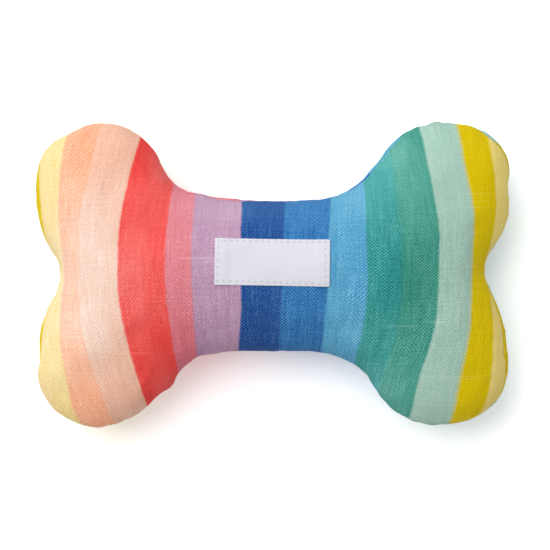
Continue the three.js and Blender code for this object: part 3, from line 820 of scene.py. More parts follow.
        full[shift + back.rings[0]] = full[front.rings[0]]
        front.points = front.points + full[:shift]
        back.points = back.points + full[shift:]

    def settle(self, skin: Skin) -> None:
        """Give a face its lumps, puckers and groove, its set height, and rest it on the ground."""
        off = skin.seam_distance()
        near = np.full(len(skin.points), 1.0)
        near[skin.rings] = off
        fade = 1 - np.exp(-near / self.lump_reach)
        normal = skin.normals()
        push = self.lumps.at(skin.points) * fade
        pucker = self.pucker_height * self.puckers.at(skin.points)
        push += pucker * np.exp(-near / self.pucker_reach)
        points = skin.points + normal * push[:, None]
        groove = self.groove_depth * np.exp(-((off / self.groove_reach) ** 2))
        points[skin.rings, :2] -= self.outward[None] * groove[..., None]
        top = np.abs(points[:, 2] - MIDDLE).max()
        points[:, 2] = MIDDLE + (points[:, 2] - MIDDLE) * (self.most / top)
        low = points[:, 2]
        points[:, 2] = (low + np.sqrt(low**2 + self.rest_softness**2)) / 2
        points[skin.rings[0], 2] += skin.side.value * self.seam_gap
        skin.points = points

    def lay_cloth(self, skin: Skin) -> None:
        """Find the cloth's own two coordinates at each point of a face.

        They are the pair whose slopes over the surface are nearest to two directions: the
        toy's x and y, each turned with the surface by the least turn from the crown's normal.
        """
        triangles = skin.triangles()
        face = unit(crosses(skin.points, triangles))
        up = np.array([0.0, 0.0, skin.side.value])
        lean = (up + face) / (1 + np.maximum(face @ up, self.steepest))[:, None]
        weave = Weave(skin.points, triangles)
        free = np.ones(len(skin.points))
        centre = skin.grid[self.across // 2, self.up // 2]
        free[centre] = 0
        for axis in range(2):
            way = np.zeros((len(face), 3))
            way[:, axis] = 1
            way -= lean * face[:, axis:axis + 1]
            rise = skin.points[weave.starts] - skin.points[weave.ends]
            wanted = weave.weights * (rise * np.repeat(way, 3, axis=0)).sum(axis=1)
            load = np.bincount(weave.starts, wanted, weave.size)
            load -= np.bincount(weave.ends, wanted, weave.size)
            skin.cloth[:, axis] = weave.solve(load, free, self.cloth_tolerance)

    def throat_shear(self, skin: Skin) -> Array:
        """Return how far the rim's cloth is sheared where the outline turns in at a throat.

        There the first coordinate follows the plan's x down the wall, not the wall's length.
        """
        rings = skin.rings
        toward = -self.outward[:, 0] * np.sign(self.ring[:, 0]) / self.throat_turn
        share = np.clip(toward, 0, 1) * self.throat_hold
        first = skin.cloth[rings, 0] - skin.cloth[rings[-1], 0]
        plan = skin.points[rings, 0] - skin.points[rings[-1], 0]
        shear = np.zeros(len(skin.points))
        shear[rings[:-1]] = (share * (plan - first))[:-1]
        return shear

    def stripe_lean(self, points: Array) -> Array:
        """Return how far the stripes lean off the cloth's first coordinate, in metres.

        The lean is a polynomial of x and y in tenths of a metre, with a Gaussian for each
        tug: the stuffing and the maker's hands have pulled the stripes in over the knuckles.
        """
        x = points[:, 0] * 10
        y = points[:, 1] * 10
        lean = np.polyval(self.lean_slope[::-1], x) * y
        lean += np.polyval(self.lean_bend[::-1], x) * y**2
        for tug in self.tugs:
            lean += tug.at(points)
        return lean

    def panel(self, side: Side) -> bpy.types.Object:
        """Build one panel: outer face, folded edge, turned-in allowance and inner face.

        The inner face is the outer one moved in along the normals by the cloth's thickness.
        The allowance is the seam's ring moved in over the seam's own level.

        Args:
            side: Which panel.

        Returns:
            The closed shell, subdivided once.
        """
        skin = self.skins[side]
        normal = skin.normals()
        cloth = skin.cloth.copy()
        cloth[:, 0] += self.throat_shear(skin) + self.stripe_lean(skin.points)
        if side is Side.BACK:
            cloth[:, 0] -= self.back_shift
        shell = Surface()
        outer = shell.add(skin.points, cloth)
        inner = shell.add(skin.points - normal * self.cloth_thickness, cloth)
        seam = skin.points[skin.rings[0]]
        seam_cloth = cloth[skin.rings[0]]
        face = side is Side.BACK
        shell.join(outer[skin.grid], flip=face)
        shell.join(inner[skin.grid], flip=not face)
        rows = [outer[skin.rings[k]] for k in range(self.skin_rings, -1, -1)]
        for share, level in self.allowance:
            inset = self.fold_inset + (self.seam_allowance - self.fold_inset) * share
            place = seam.copy()
            place[:, :2] -= self.outward * inset
            place[:, 2] += side.value * level * self.cloth_thickness
            rows.append(shell.add(place, seam_cloth - self.outward * inset))
        first = int(np.searchsorted(skin.seam_distance().mean(axis=1), self.lining_inset))
        rows += [inner[skin.rings[k]] for k in range(first, self.skin_rings + 1)]
        shell.join(np.stack(rows), wrap=True, flip=face)
        thing = shell.trimmed().build("front_cloth" if side is Side.FRONT else "back_cloth")
        smooth = thing.modifiers.new("round", "SUBSURF")
        smooth.levels = smooth.render_levels = 1
        smooth.uv_smooth = "PRESERVE_BOUNDARIES"
        return applied(thing)

    def seam_line(self, side: Side, inset: float, off: float, steps: int) -> Array:
        """Return a line along the seam, moved in and off the seam's level.

        Args:
            side: The panel that the line lies on.
            inset: How far in from the seam.
            off: How far from the seam's level, towards that panel.
            steps: How many points, evenly by index.

        Returns:
            The points, from the seam's first point round to it again.
        """
        seam = self.skins[side].points[self.skins[side].rings[0]].copy()
        seam[:, :2] -= self.outward * inset
        seam[:, 2] += side.value * off
        seam = np.concatenate([seam, seam[:1]])
        return resampled(seam, np.arange(len(seam)), np.linspace(0, len(seam) - 1, steps))


TUBE_SIDES = 6
TUBE_TIP = 0.02  # the radius of a tube's end rings, as a share of its own
TUBE_WELD = 0.1  # how near points are merged, as a share of its radius


def tube(path: Array, radius: float, name: str, up: Array) -> bpy.types.Object:
    """Carry a circle along an open path and close its ends to points.

    Each ring is the path's point plus the radius times cosine and sine of the angle, along
    two directions square to the path.

    Args:
        path: The path's points.
        radius: The circle's radius.
        name: The piece's name.
        up: A direction that isn't along the path.

    Returns:
        The closed tube.
    """
    along = unit(np.gradient(path, axis=0))
    across = unit(np.cross(along, np.broadcast_to(up, along.shape)))
    rise = np.cross(across, along)
    angle = np.linspace(0, 2 * math.pi, TUBE_SIDES, endpoint=False)[None, :, None]
    spoke = across[:, None] * np.cos(angle) + rise[:, None] * np.sin(angle)
    share = np.ones(len(path))
    share[[0, -1]] = TUBE_TIP
    rings = path[:, None] + spoke * (radius * share)[:, None, None]
    cloth = np.stack(np.broadcast_arrays(stations(path)[:, None], angle[..., 0] * radius), axis=-1)
    made = Surface()
    grid = made.add(rings, cloth)
    made.join(grid, wrap=True, flip=True)
    return made.build(name, merge=radius * TUBE_WELD)


# Finishes


def linear(red: int, green: int, blue: int) -> tuple[float, float, float, float]:
    """Return the linear colour of three display values out of 255, by the sRGB curve."""
    share = np.array([red, green, blue]) / 255
    value = np.where(share <= 0.04045, share / 12.92, ((share + 0.055) / 1.055) ** 2.4)
    return (*value.tolist(), 1.0)


class Wire:
    """A node's output, which can be reckoned with like a number."""

    def __init__(self, recipe: "Recipe", socket: bpy.types.NodeSocket) -> None:
        """Hold an output and the material under construction that it belongs to."""
        self.recipe = recipe
        self.socket = socket

    def __add__(self, other: "Value") -> "Wire":
        """Return the sum."""
        return self.recipe.math("ADD", self, other)

    def __radd__(self, other: float) -> "Wire":
        """Return the sum of a number and the wire."""
        return self.recipe.math("ADD", other, self)

    def __sub__(self, other: "Value") -> "Wire":
        """Return the difference."""
        return self.recipe.math("SUBTRACT", self, other)

    def __mul__(self, other: "Value") -> "Wire":
        """Return the product."""
        return self.recipe.math("MULTIPLY", self, other)

    def __truediv__(self, other: "Value") -> "Wire":
        """Return the quotient."""
        return self.recipe.math("DIVIDE", self, other)

    def __abs__(self) -> "Wire":
        """Return the value without its sign."""
        return self.recipe.math("ABSOLUTE", self)

    def swing(self, size: float) -> "Wire":
        """Return a value about a half as one about zero: less a half, times twice the size."""
        return (self - 0.5) * (size * 2)

    def fade(self, low: float, high: float) -> "Wire":
        """Return 0 below low, 1 above high, and a smooth step between."""
        feeds = {"Value": self, "From Min": low, "From Max": high}
        return self.recipe.wire("ShaderNodeMapRange", feeds, interpolation_type="SMOOTHSTEP")


Value = float | Wire


class Recipe:
    """A material under construction: one Principled shader and the nodes that feed it."""

    def __init__(self, name: str) -> None:
        """Start a material with a shader and an output."""
        self.material = bpy.data.materials.new(name)
        self.material.use_nodes = True
        self.tree = self.material.node_tree
        self.tree.nodes.clear()
        self.shader = self.node("ShaderNodeBsdfPrincipled", {})
        self.node("ShaderNodeOutputMaterial", {0: Wire(self, self.shader.outputs[0])})

    def feed(self, socket: bpy.types.NodeSocket, value: object) -> None:
        """Link an input to a wire, or set its value."""
        if isinstance(value, Wire):
            self.tree.links.new(value.socket, socket)
        else:
            socket.default_value = value

    def node(self, kind: str, feeds: dict[str | int, object], **settings: object) -> bpy.types.Node:
        """Add a node.

        Args:
            kind: The node's type.
            feeds: What each input gets, a wire or a value, by the input's name or number.
            **settings: The node's properties by name.

        Returns:
            The node.
        """
        made = self.tree.nodes.new(kind)
        for key, value in settings.items():
            setattr(made, key, value)
        for key, value in feeds.items():
            self.feed(made.inputs[key], value)
        return made

    def wire(self, kind: str, feeds: dict[str | int, object], **settings: object) -> Wire:
        """Add a node and return its first output."""
        return Wire(self, self.node(kind, feeds, **settings).outputs[0])

    def plain(self, **values: object) -> None:
        """Set shader sockets to values that are the same all over the surface."""
        for key, value in values.items():
            self.shader.inputs[key.replace("_", " ")].default_value = value

    def math(self, operation: str, *values: Value) -> Wire:
        """Return the result of a Math node on the values."""
        return self.wire("ShaderNodeMath", dict(enumerate(values)), operation=operation)

    def vector(self, x: Value, y: Value, z: Value = 0.0) -> Wire:
        """Return a vector of three values."""
        return self.wire("ShaderNodeCombineXYZ", {0: x, 1: y, 2: z})

    def noise(self, vector: Wire, scale: float, detail: float, rough: float) -> Wire:
        """Return a Noise texture's value, about a half."""
        feeds = {"Vector": vector, "Scale": scale, "Detail": detail, "Roughness": rough}
        return self.wire("ShaderNodeTexNoise", feeds)

    def mix(self, share: Value, first: object, second: object) -> Wire:
        """Return a colour between two, by a share."""
        made = self.node("ShaderNodeMix", {0: share, 6: first, 7: second}, data_type="RGBA")
        return Wire(self, made.outputs[2])

    def scaled(self, vector: object, factor: Value) -> Wire:
        """Return a vector or a colour times a factor."""
        feeds = {0: vector if isinstance(vector, Wire) else vector[:3], "Scale": factor}
        return self.wire("ShaderNodeVectorMath", feeds, operation="SCALE")

    def cloth(self) -> tuple[Wire, Wire]:
        """Return the cloth map's two coordinates in millimetres."""
        source = self.wire("ShaderNodeUVMap", {}, uv_map="cloth")
        parts = self.node("ShaderNodeSeparateXYZ", {0: source})
        return Wire(self, parts.outputs[0]) * (1 / MM), Wire(self, parts.outputs[1]) * (1 / MM)

    def place(self) -> Wire:
        """Return the object's own coordinates in millimetres."""
        source = self.node("ShaderNodeTexCoord", {})
        return self.scaled(Wire(self, source.outputs["Object"]), 1 / MM)

    def bump(self, height: Wire, strength: float, distance: float) -> None:
        """Give the shader a bump from a height between 0 and 1."""
        feeds = {"Strength": strength, "Distance": distance, "Height": height}
        self.feed(self.shader.inputs["Normal"], self.wire("ShaderNodeBump", feeds))

    def colour(self, value: Wire) -> None:
        """Give the shader its base colour."""
        self.feed(self.shader.inputs["Base Color"], value)


@dataclass(frozen=True)
class Stripe:
    """A printed stripe: its colour out of 255, its end along the cloth and how soft that is."""

    name: str
    colour: tuple[int, int, int]
    end: float
    edge: float = 0.15


@dataclass(frozen=True)
class Slub:
    """A stretch of thick, pale weft yarn: its middle on the cloth, half length and strength."""

    u: float
    v: float
    half: float
    strength: float


@dataclass(frozen=True)
class PrintAndLightWash:
    """A soft patch, partly the print's own tone and partly painted light and shade: denser where
    its amount is positive, paler where it is negative.
    """

    u: float
    v: float
    reach: tuple[float, float]
    amount: float


@dataclass(frozen=True)
class Uneven:
    """An unevenness of the cloth: noise drawn out along one of its two directions.

    A stretch of 0.05 makes the noise twenty times as long that way. The seed is the noise's
    third coordinate, which keeps two patterns apart.
    """

    size: float
    scale: float
    detail: float
    rough: float = 0.5
    stretch: tuple[float, float] = (1.0, 1.0)
    seed: float = 0.0

    def at(self, recipe: Recipe, place: Wire) -> Wire:
        """Return the noise at a place, about a half and not drawn out."""
        return recipe.noise(place, self.scale, self.detail, self.rough)

    def drawn(self, recipe: Recipe, u: Wire, v: Wire) -> Wire:
        """Return the noise on the cloth, about a half."""
        place = recipe.vector(u * self.stretch[0], v * self.stretch[1], self.seed)
        return self.at(recipe, place)

    def swung(self, recipe: Recipe, u: Wire, v: Wire) -> Wire:
        """Return the noise on the cloth about zero, up to its size either way."""
        return self.drawn(recipe, u, v).swing(self.size)


@dataclass(frozen=True)
class StripedLinen:
    """Slubby plain weave of linen and cotton, printed with broad stripes. Lengths are in mm."""

    start: float = -145.0
    stripes: tuple[Stripe, ...] = (
        Stripe("mint before", (169, 206, 189), -131.0),
        Stripe("mustard before", (228, 200, 12), -114.2),
        Stripe("pale yellow", (252, 226, 164), -104.3),
        Stripe("peach", (254, 192, 159), -93.1),
        Stripe("pale peach", (248, 204, 182), -74.4),
        Stripe("red", (247, 96, 91), -52.1),
        Stripe("pink", (231, 137, 148), -39.3),
        Stripe("lilac", (194, 155, 184), -16.2),
        Stripe("navy", (40, 86, 153), 4.6),
        Stripe("mid blue", (55, 121, 183), 26.8),
        Stripe("sky", (92, 168, 207), 45.8),
        Stripe("teal", (64, 157, 153), 61.8, 3.0),
        Stripe("green", (75, 158, 140), 79.3),
        Stripe("mint", (171, 207, 191), 96.6),
        Stripe("mustard", (228, 200, 4), 109.4),
        # The same pale yellow as before, made deeper and more saturated as painted shade for the
        # shaded right end.
        Stripe("pale yellow after", (246, 222, 128), 140.0),
    )
    wobble: Uneven = Uneven(0.5, 0.22, 3)
    streaks: Uneven = Uneven(0.20, 0.35, 4, 0.6, (1.0, 0.05))
    clouds: Uneven = Uneven(0.12, 0.035, 2)
    warp: Uneven = Uneven(0.34, 1.1, 2, 0.6, (1.0, 0.07))
    weft: Uneven = Uneven(0.16, 1.3, 1, stretch=(0.05, 1.0))
    grain: Uneven = Uneven(0.50, 1.0, 2, 0.7, seed=5.0)
    bend: Uneven = Uneven(5.0, 0.04, 1, seed=2.0)
    broken: Uneven = Uneven(1.0, 0.55, 2, 0.6, seed=3.0)
    thick: Uneven = Uneven(0.12, 1.1, 1, stretch=(0.014, 1.0), seed=9.0)
    broken_between: tuple[float, float] = (0.35, 0.65)
    broken_least: float = 0.45
    thick_between: tuple[float, float] = (0.68, 0.80)
    yarn: float = 0.78
    weave: float = 0.33
    one_way: float = 0.57
    # The crown patch, where the painted glints and the cloth's unevenness are strongest.
    crown: tuple[float, float] = (32.0, -15.0)
    crown_reach: tuple[float, float] = (100.0, 46.0)
    crown_inside: float = 0.3
    patch_edge: float = 1.5
    weave_off_crown: float = 0.42
    uneven_off_crown: float = 0.62
    uneven_on_crown: float = 0.43
    dye_share: float = 0.7
    light_boost: float = 1.1
    light_between: tuple[float, float] = (-66.0, -80.0)
    undyed: tuple[int, int, int] = (243, 243, 243)
    undyed_share: float = 0.6
    slub_ends: float = 0.4
    slub_half_width: float = 0.7
    yarn_relief: float = 0.5
    relief: tuple[float, float] = (0.5, 0.00012)
    slubs: tuple[Slub, ...] = (
        Slub(-36.0, 7.9, 13.0, 0.16),
        Slub(-33.0, 6.2, 10.0, 0.10),
        Slub(64.0, -24.8, 10.0, 0.11),
        Slub(79.0, -23.0, 9.0, 0.13),
        Slub(96.0, 4.0, 6.0, 0.10),
        Slub(-70.0, -38.0, 9.0, 0.08),
    )
    # Partly the print's own tone and partly painted light and shade: paler where more light falls,
    # deeper where shade falls.
    print_and_light_washes: tuple[PrintAndLightWash, ...] = (
        PrintAndLightWash(-82.0, 62.0, (24.0, 22.0), 0.28),
        PrintAndLightWash(-92.0, 0.0, (20.0, 36.0), -0.26),
        PrintAndLightWash(-96.0, -28.0, (16.0, 14.0), -0.12),
        PrintAndLightWash(-90.0, -68.0, (22.0, 17.0), 0.24),
        PrintAndLightWash(-48.0, -36.0, (18.0, 21.0), 0.20),
        PrintAndLightWash(-76.0, -52.0, (14.0, 18.0), 0.20),
        PrintAndLightWash(-58.0, 60.0, (12.0, 12.0), -0.22),
        PrintAndLightWash(58.0, 46.0, (26.0, 32.0), -0.15),
        PrintAndLightWash(61.0, 2.0, (26.0, 44.0), 0.07),
        PrintAndLightWash(48.0, -27.0, (13.0, 12.0), -0.09),
        PrintAndLightWash(66.0, -66.0, (19.0, 12.0), -0.11),
        PrintAndLightWash(8.0, 36.0, (40.0, 14.0), -0.10),
        PrintAndLightWash(-30.0, 34.0, (24.0, 9.0), -0.11),
        PrintAndLightWash(-67.0, 2.0, (8.0, 24.0), -0.13),
        PrintAndLightWash(60.0, -3.0, (9.0, 18.0), 0.12),
        PrintAndLightWash(63.0, -52.0, (14.0, 12.0), -0.15),
        PrintAndLightWash(62.0, 64.0, (12.0, 13.0), -0.13),
    )

    def patch(
        self, u: Wire, v: Wire, centre: tuple[float, float], reach: tuple[float, float],
        inside: float,
    ) -> Wire:
        """Return a soft ellipse's share: 1 in its middle and 0 past its edge.

        It fades by the squared distance from its centre, as a share of the reach either way.

        Args:
            u: The first cloth coordinate.
            v: The second.
            centre: The ellipse's centre.
            reach: How far it reaches along u and along v.
            inside: The squared share of the reach up to which it is full.

        Returns:
            The share.
        """
        x = (u - centre[0]) / reach[0]
        y = (v - centre[1]) / reach[1]
        return (x * x + y * y).fade(self.patch_edge, inside)

    def printed(self, recipe: Recipe, u: Wire, v: Wire) -> Wire:
        """Return the stripes' colours, with edges that wander a little across the yarns."""
        finish = self.stripes[-1].end
        length = finish - self.start
        ramp = recipe.node("ShaderNodeValToRGB", {})
        recipe.feed(ramp.inputs[0], (u + self.wobble.swung(recipe, u, v) - self.start) / length)
        stops = ramp.color_ramp.elements
        stops[0].position, stops[0].color = 0.0, linear(*self.stripes[0].colour)
        stops[1].position, stops[1].color = 1.0, linear(*self.stripes[-1].colour)
        for this, following in zip(self.stripes, self.stripes[1:]):
            for colour, side in ((this.colour, -1), (following.colour, 1)):
                stop = stops.new((this.end + side * this.edge / 2 - self.start) / length)
                stop.color = linear(*colour)
            LOG.info("the %s stripe ends at %.1f mm on the cloth", this.name, this.end)
        return Wire(recipe, ramp.outputs[0])

    def crossings_and_painted_glints(self, recipe: Recipe, u: Wire, v: Wire, crown: Wire) -> Wire:
        """Return the weave's crossings, drawn as painted glints, about zero.

        A plain weave's crossings are the sine of u times the sine of v, which is half the cosine of
        their difference less half the cosine of their sum. They are painted glints in the dye's
        density, standing for the light on the yarns: the first is weighted more than the second,
        and both most on the crown patch.
        """
        turn = math.pi / self.yarn
        bend = self.bend.swung(recipe, u, v)
        first = recipe.math("COSINE", (u - v + bend) * turn)
        second = recipe.math("COSINE", (u + v + bend) * turn)
        over = first * self.one_way - second * (1 - self.one_way)
        share = self.weave_off_crown + crown * (1 - self.weave_off_crown)
        broken = self.broken.drawn(recipe, u, v).fade(*self.broken_between)
        return over * (share * (self.broken_least + broken))

    def pale_yarns(self, recipe: Recipe, u: Wire, v: Wire) -> Wire:
        """Return the share of pale yarn: the fine thick places, and the six plain slubs."""
        pale = self.thick.drawn(recipe, u, v).fade(*self.thick_between) * self.thick.size
        for slub in self.slubs:
            ends = abs(u - slub.u).fade(slub.half, slub.half * self.slub_ends)
            sides = abs(v - slub.v).fade(self.slub_half_width, 0.0)
            pale = recipe.math("MAXIMUM", pale, ends * sides * slub.strength)
        return pale

    def material(self) -> bpy.types.Material:
        """Return the cloth's material, drawn over the cloth map.

        The printed colour is raised to the power of a density, so that a higher one is deeper and a
        lower one paler. The crossings, the yarns and the washes change it: the crossings are
        painted glints, and the washes are partly the print's own tone and partly painted light and
        shade.
        """
        recipe = Recipe("striped_linen_cloth")
        u, v = recipe.cloth()
        crown = self.patch(u, v, self.crown, self.crown_reach, self.crown_inside)
        over = self.crossings_and_painted_glints(recipe, u, v, crown)
        warp = self.warp.drawn(recipe, u, v)
        weft = self.weft.drawn(recipe, u, v)
        uneven = self.streaks.swung(recipe, u, v) + self.clouds.swung(recipe, u, v)
        uneven = uneven + warp.swing(self.warp.size) + weft.swing(self.weft.size)
        uneven = uneven + self.grain.swung(recipe, u, v)
        uneven = uneven * (self.uneven_off_crown + crown * self.uneven_on_crown)
        light = 1.0 + u.fade(*self.light_between) * self.light_boost
        # The density takes the dye's own unevenness and painted light: the crossings' painted
        # glints and, below, the washes.
        dye_density_and_painted_light = 1.0 + over * self.weave * light + uneven * -self.dye_share * light
        for print_light_wash in self.print_and_light_washes:
            share = self.patch(u, v, (print_light_wash.u, print_light_wash.v), print_light_wash.reach, 0.0)
            dye_density_and_painted_light = dye_density_and_painted_light + share * print_light_wash.amount
        pale = self.pale_yarns(recipe, u, v)
        dye = recipe.wire("ShaderNodeGamma", {0: self.printed(recipe, u, v), 1: dye_density_and_painted_light})
        colour = recipe.mix(pale * self.undyed_share, dye, linear(*self.undyed))
        recipe.colour(recipe.scaled(colour, 1.0 + pale + uneven * (1 - self.dye_share)))
        size = self.yarn_relief
        recipe.bump(over * -size + weft.swing(size) + warp.swing(size), *self.relief)
        recipe.plain(Roughness=0.9, Sheen_Weight=0.04, Sheen_Roughness=0.5)
        recipe.plain(Specular_IOR_Level=0.08)
        return recipe.material


@dataclass(frozen=True)
class LabelCloth:
    """Fine woven label tape: close ribs along it, with painted shade at the needle holes."""

    colour: tuple[int, int, int] = (229, 228, 237)
    hole_shade_colour: tuple[int, int, int] = (158, 156, 168)
    rib: float = 0.38
    rib_size: float = 0.015
    rib_relief: float = 0.5
    dent_share: float = 0.85
    yarn: Uneven = Uneven(0.04, 2.4, 2, stretch=(0.15, 1.0))
    grain: Uneven = Uneven(0.03, 1.8, 3, 0.7)
    relief: tuple[float, float] = (0.4, 0.00006)

    def material(self) -> bpy.types.Material:
        """Return the label's material."""
        recipe = Recipe("label_tape")
        u, v = recipe.cloth()
        ribs = recipe.math("SINE", v * (2 * math.pi / self.rib))
        yarn = self.yarn.swung(recipe, u, v)
        grain = self.grain.drawn(recipe, u, v)
        # Painted shade: the tape turns grey at the needle holes, for the shadow that falls in them.
        source = recipe.node("ShaderNodeAttribute", {}, attribute_name="hole_shade_share")
        hole_shade_share = Wire(recipe, source.outputs["Fac"])
        base = recipe.mix(hole_shade_share * self.dent_share, linear(*self.colour), linear(*self.hole_shade_colour))
        factor = 1.0 + ribs * self.rib_size + yarn + grain.swing(self.grain.size)
        recipe.colour(recipe.scaled(base, factor))
        recipe.bump(ribs * self.rib_relief + grain, *self.relief)
        recipe.plain(Roughness=0.75, Sheen_Weight=0.1, Specular_IOR_Level=0.3)
        return recipe.material


@dataclass(frozen=True)
class Thread:
    """Twisted polyester sewing thread."""

    colour: tuple[int, int, int] = (232, 231, 240)
    lay: float = 0.45
    slant: float = 0.8
    twist_size: float = 0.10
    fuzz: Uneven = Uneven(0.08, 3.0, 2)
    relief: tuple[float, float] = (0.5, 0.00005)

    def material(self) -> bpy.types.Material:
        """Return the thread's material, with a twist along its length."""
        recipe = Recipe("sewing_thread")
        u, v = recipe.cloth()
        twist = recipe.math("SINE", (u + v * self.slant) * (2 * math.pi / self.lay))
        fuzz = self.fuzz.at(recipe, recipe.place()).swing(self.fuzz.size)
        factor = 1.0 + twist * self.twist_size + fuzz
        recipe.colour(recipe.scaled(linear(*self.colour), factor))
        recipe.bump(twist, *self.relief)
        recipe.plain(Roughness=0.55, Sheen_Weight=0.2)
        return recipe.material


@dataclass(frozen=True)
class Fibre:
    """Loose polyester fibre, white and matt."""

    colour: tuple[int, int, int] = (244, 242, 238)
    tone: float = 0.94
    strand_size: float = 0.05
    tufts: Uneven = Uneven(0.10, 0.12, 4, 0.6)
    relief: tuple[float, float] = (0.6, 0.0006)

    def material(self) -> bpy.types.Material:
        """Return the filling's material: strands in noise that is bent by more noise."""
        recipe = Recipe("polyester_fibre")
        place = recipe.place()
        feeds = {"Vector": place, "Scale": 0.35, "Distortion": 14.0, "Detail": 4.0}
        source = recipe.node(
            "ShaderNodeTexWave", feeds, wave_type="BANDS", bands_direction="DIAGONAL",
        )
        strands = Wire(recipe, source.outputs["Fac"])
        tufts = self.tufts.at(recipe, place)
        factor = self.tone + strands.swing(self.strand_size) + tufts.swing(self.tufts.size)
        recipe.colour(recipe.scaled(linear(*self.colour), factor))
        recipe.bump(strands + tufts, *self.relief)
        recipe.plain(Roughness=0.95, Sheen_Weight=0.4, Specular_IOR_Level=0.1)
        return recipe.material


@dataclass(frozen=True)
class MouldedPlastic:
    """Moulded or blown plastic with a fine satin grain."""

    name: str
    colour: tuple[int, int, int]
    roughness: float
    clear: float = 0.0
    grain: Uneven = Uneven(0.03, 4.0, 3)
    cloud: Uneven = Uneven(0.06, 0.15, 2)
    relief: tuple[float, float] = (0.25, 0.00004)

    def material(self) -> bpy.types.Material:
        """Return the plastic's material."""
        recipe = Recipe(self.name)
        place = recipe.place()
        grain = self.grain.at(recipe, place)
        cloud = self.cloud.at(recipe, place)
        factor = 1.0 + grain.swing(self.grain.size) + cloud.swing(self.cloud.size)
        recipe.colour(recipe.scaled(linear(*self.colour), factor))
        recipe.bump(grain, *self.relief)
        recipe.plain(Roughness=self.roughness, Transmission_Weight=self.clear)
        return recipe.material


# Label and threads


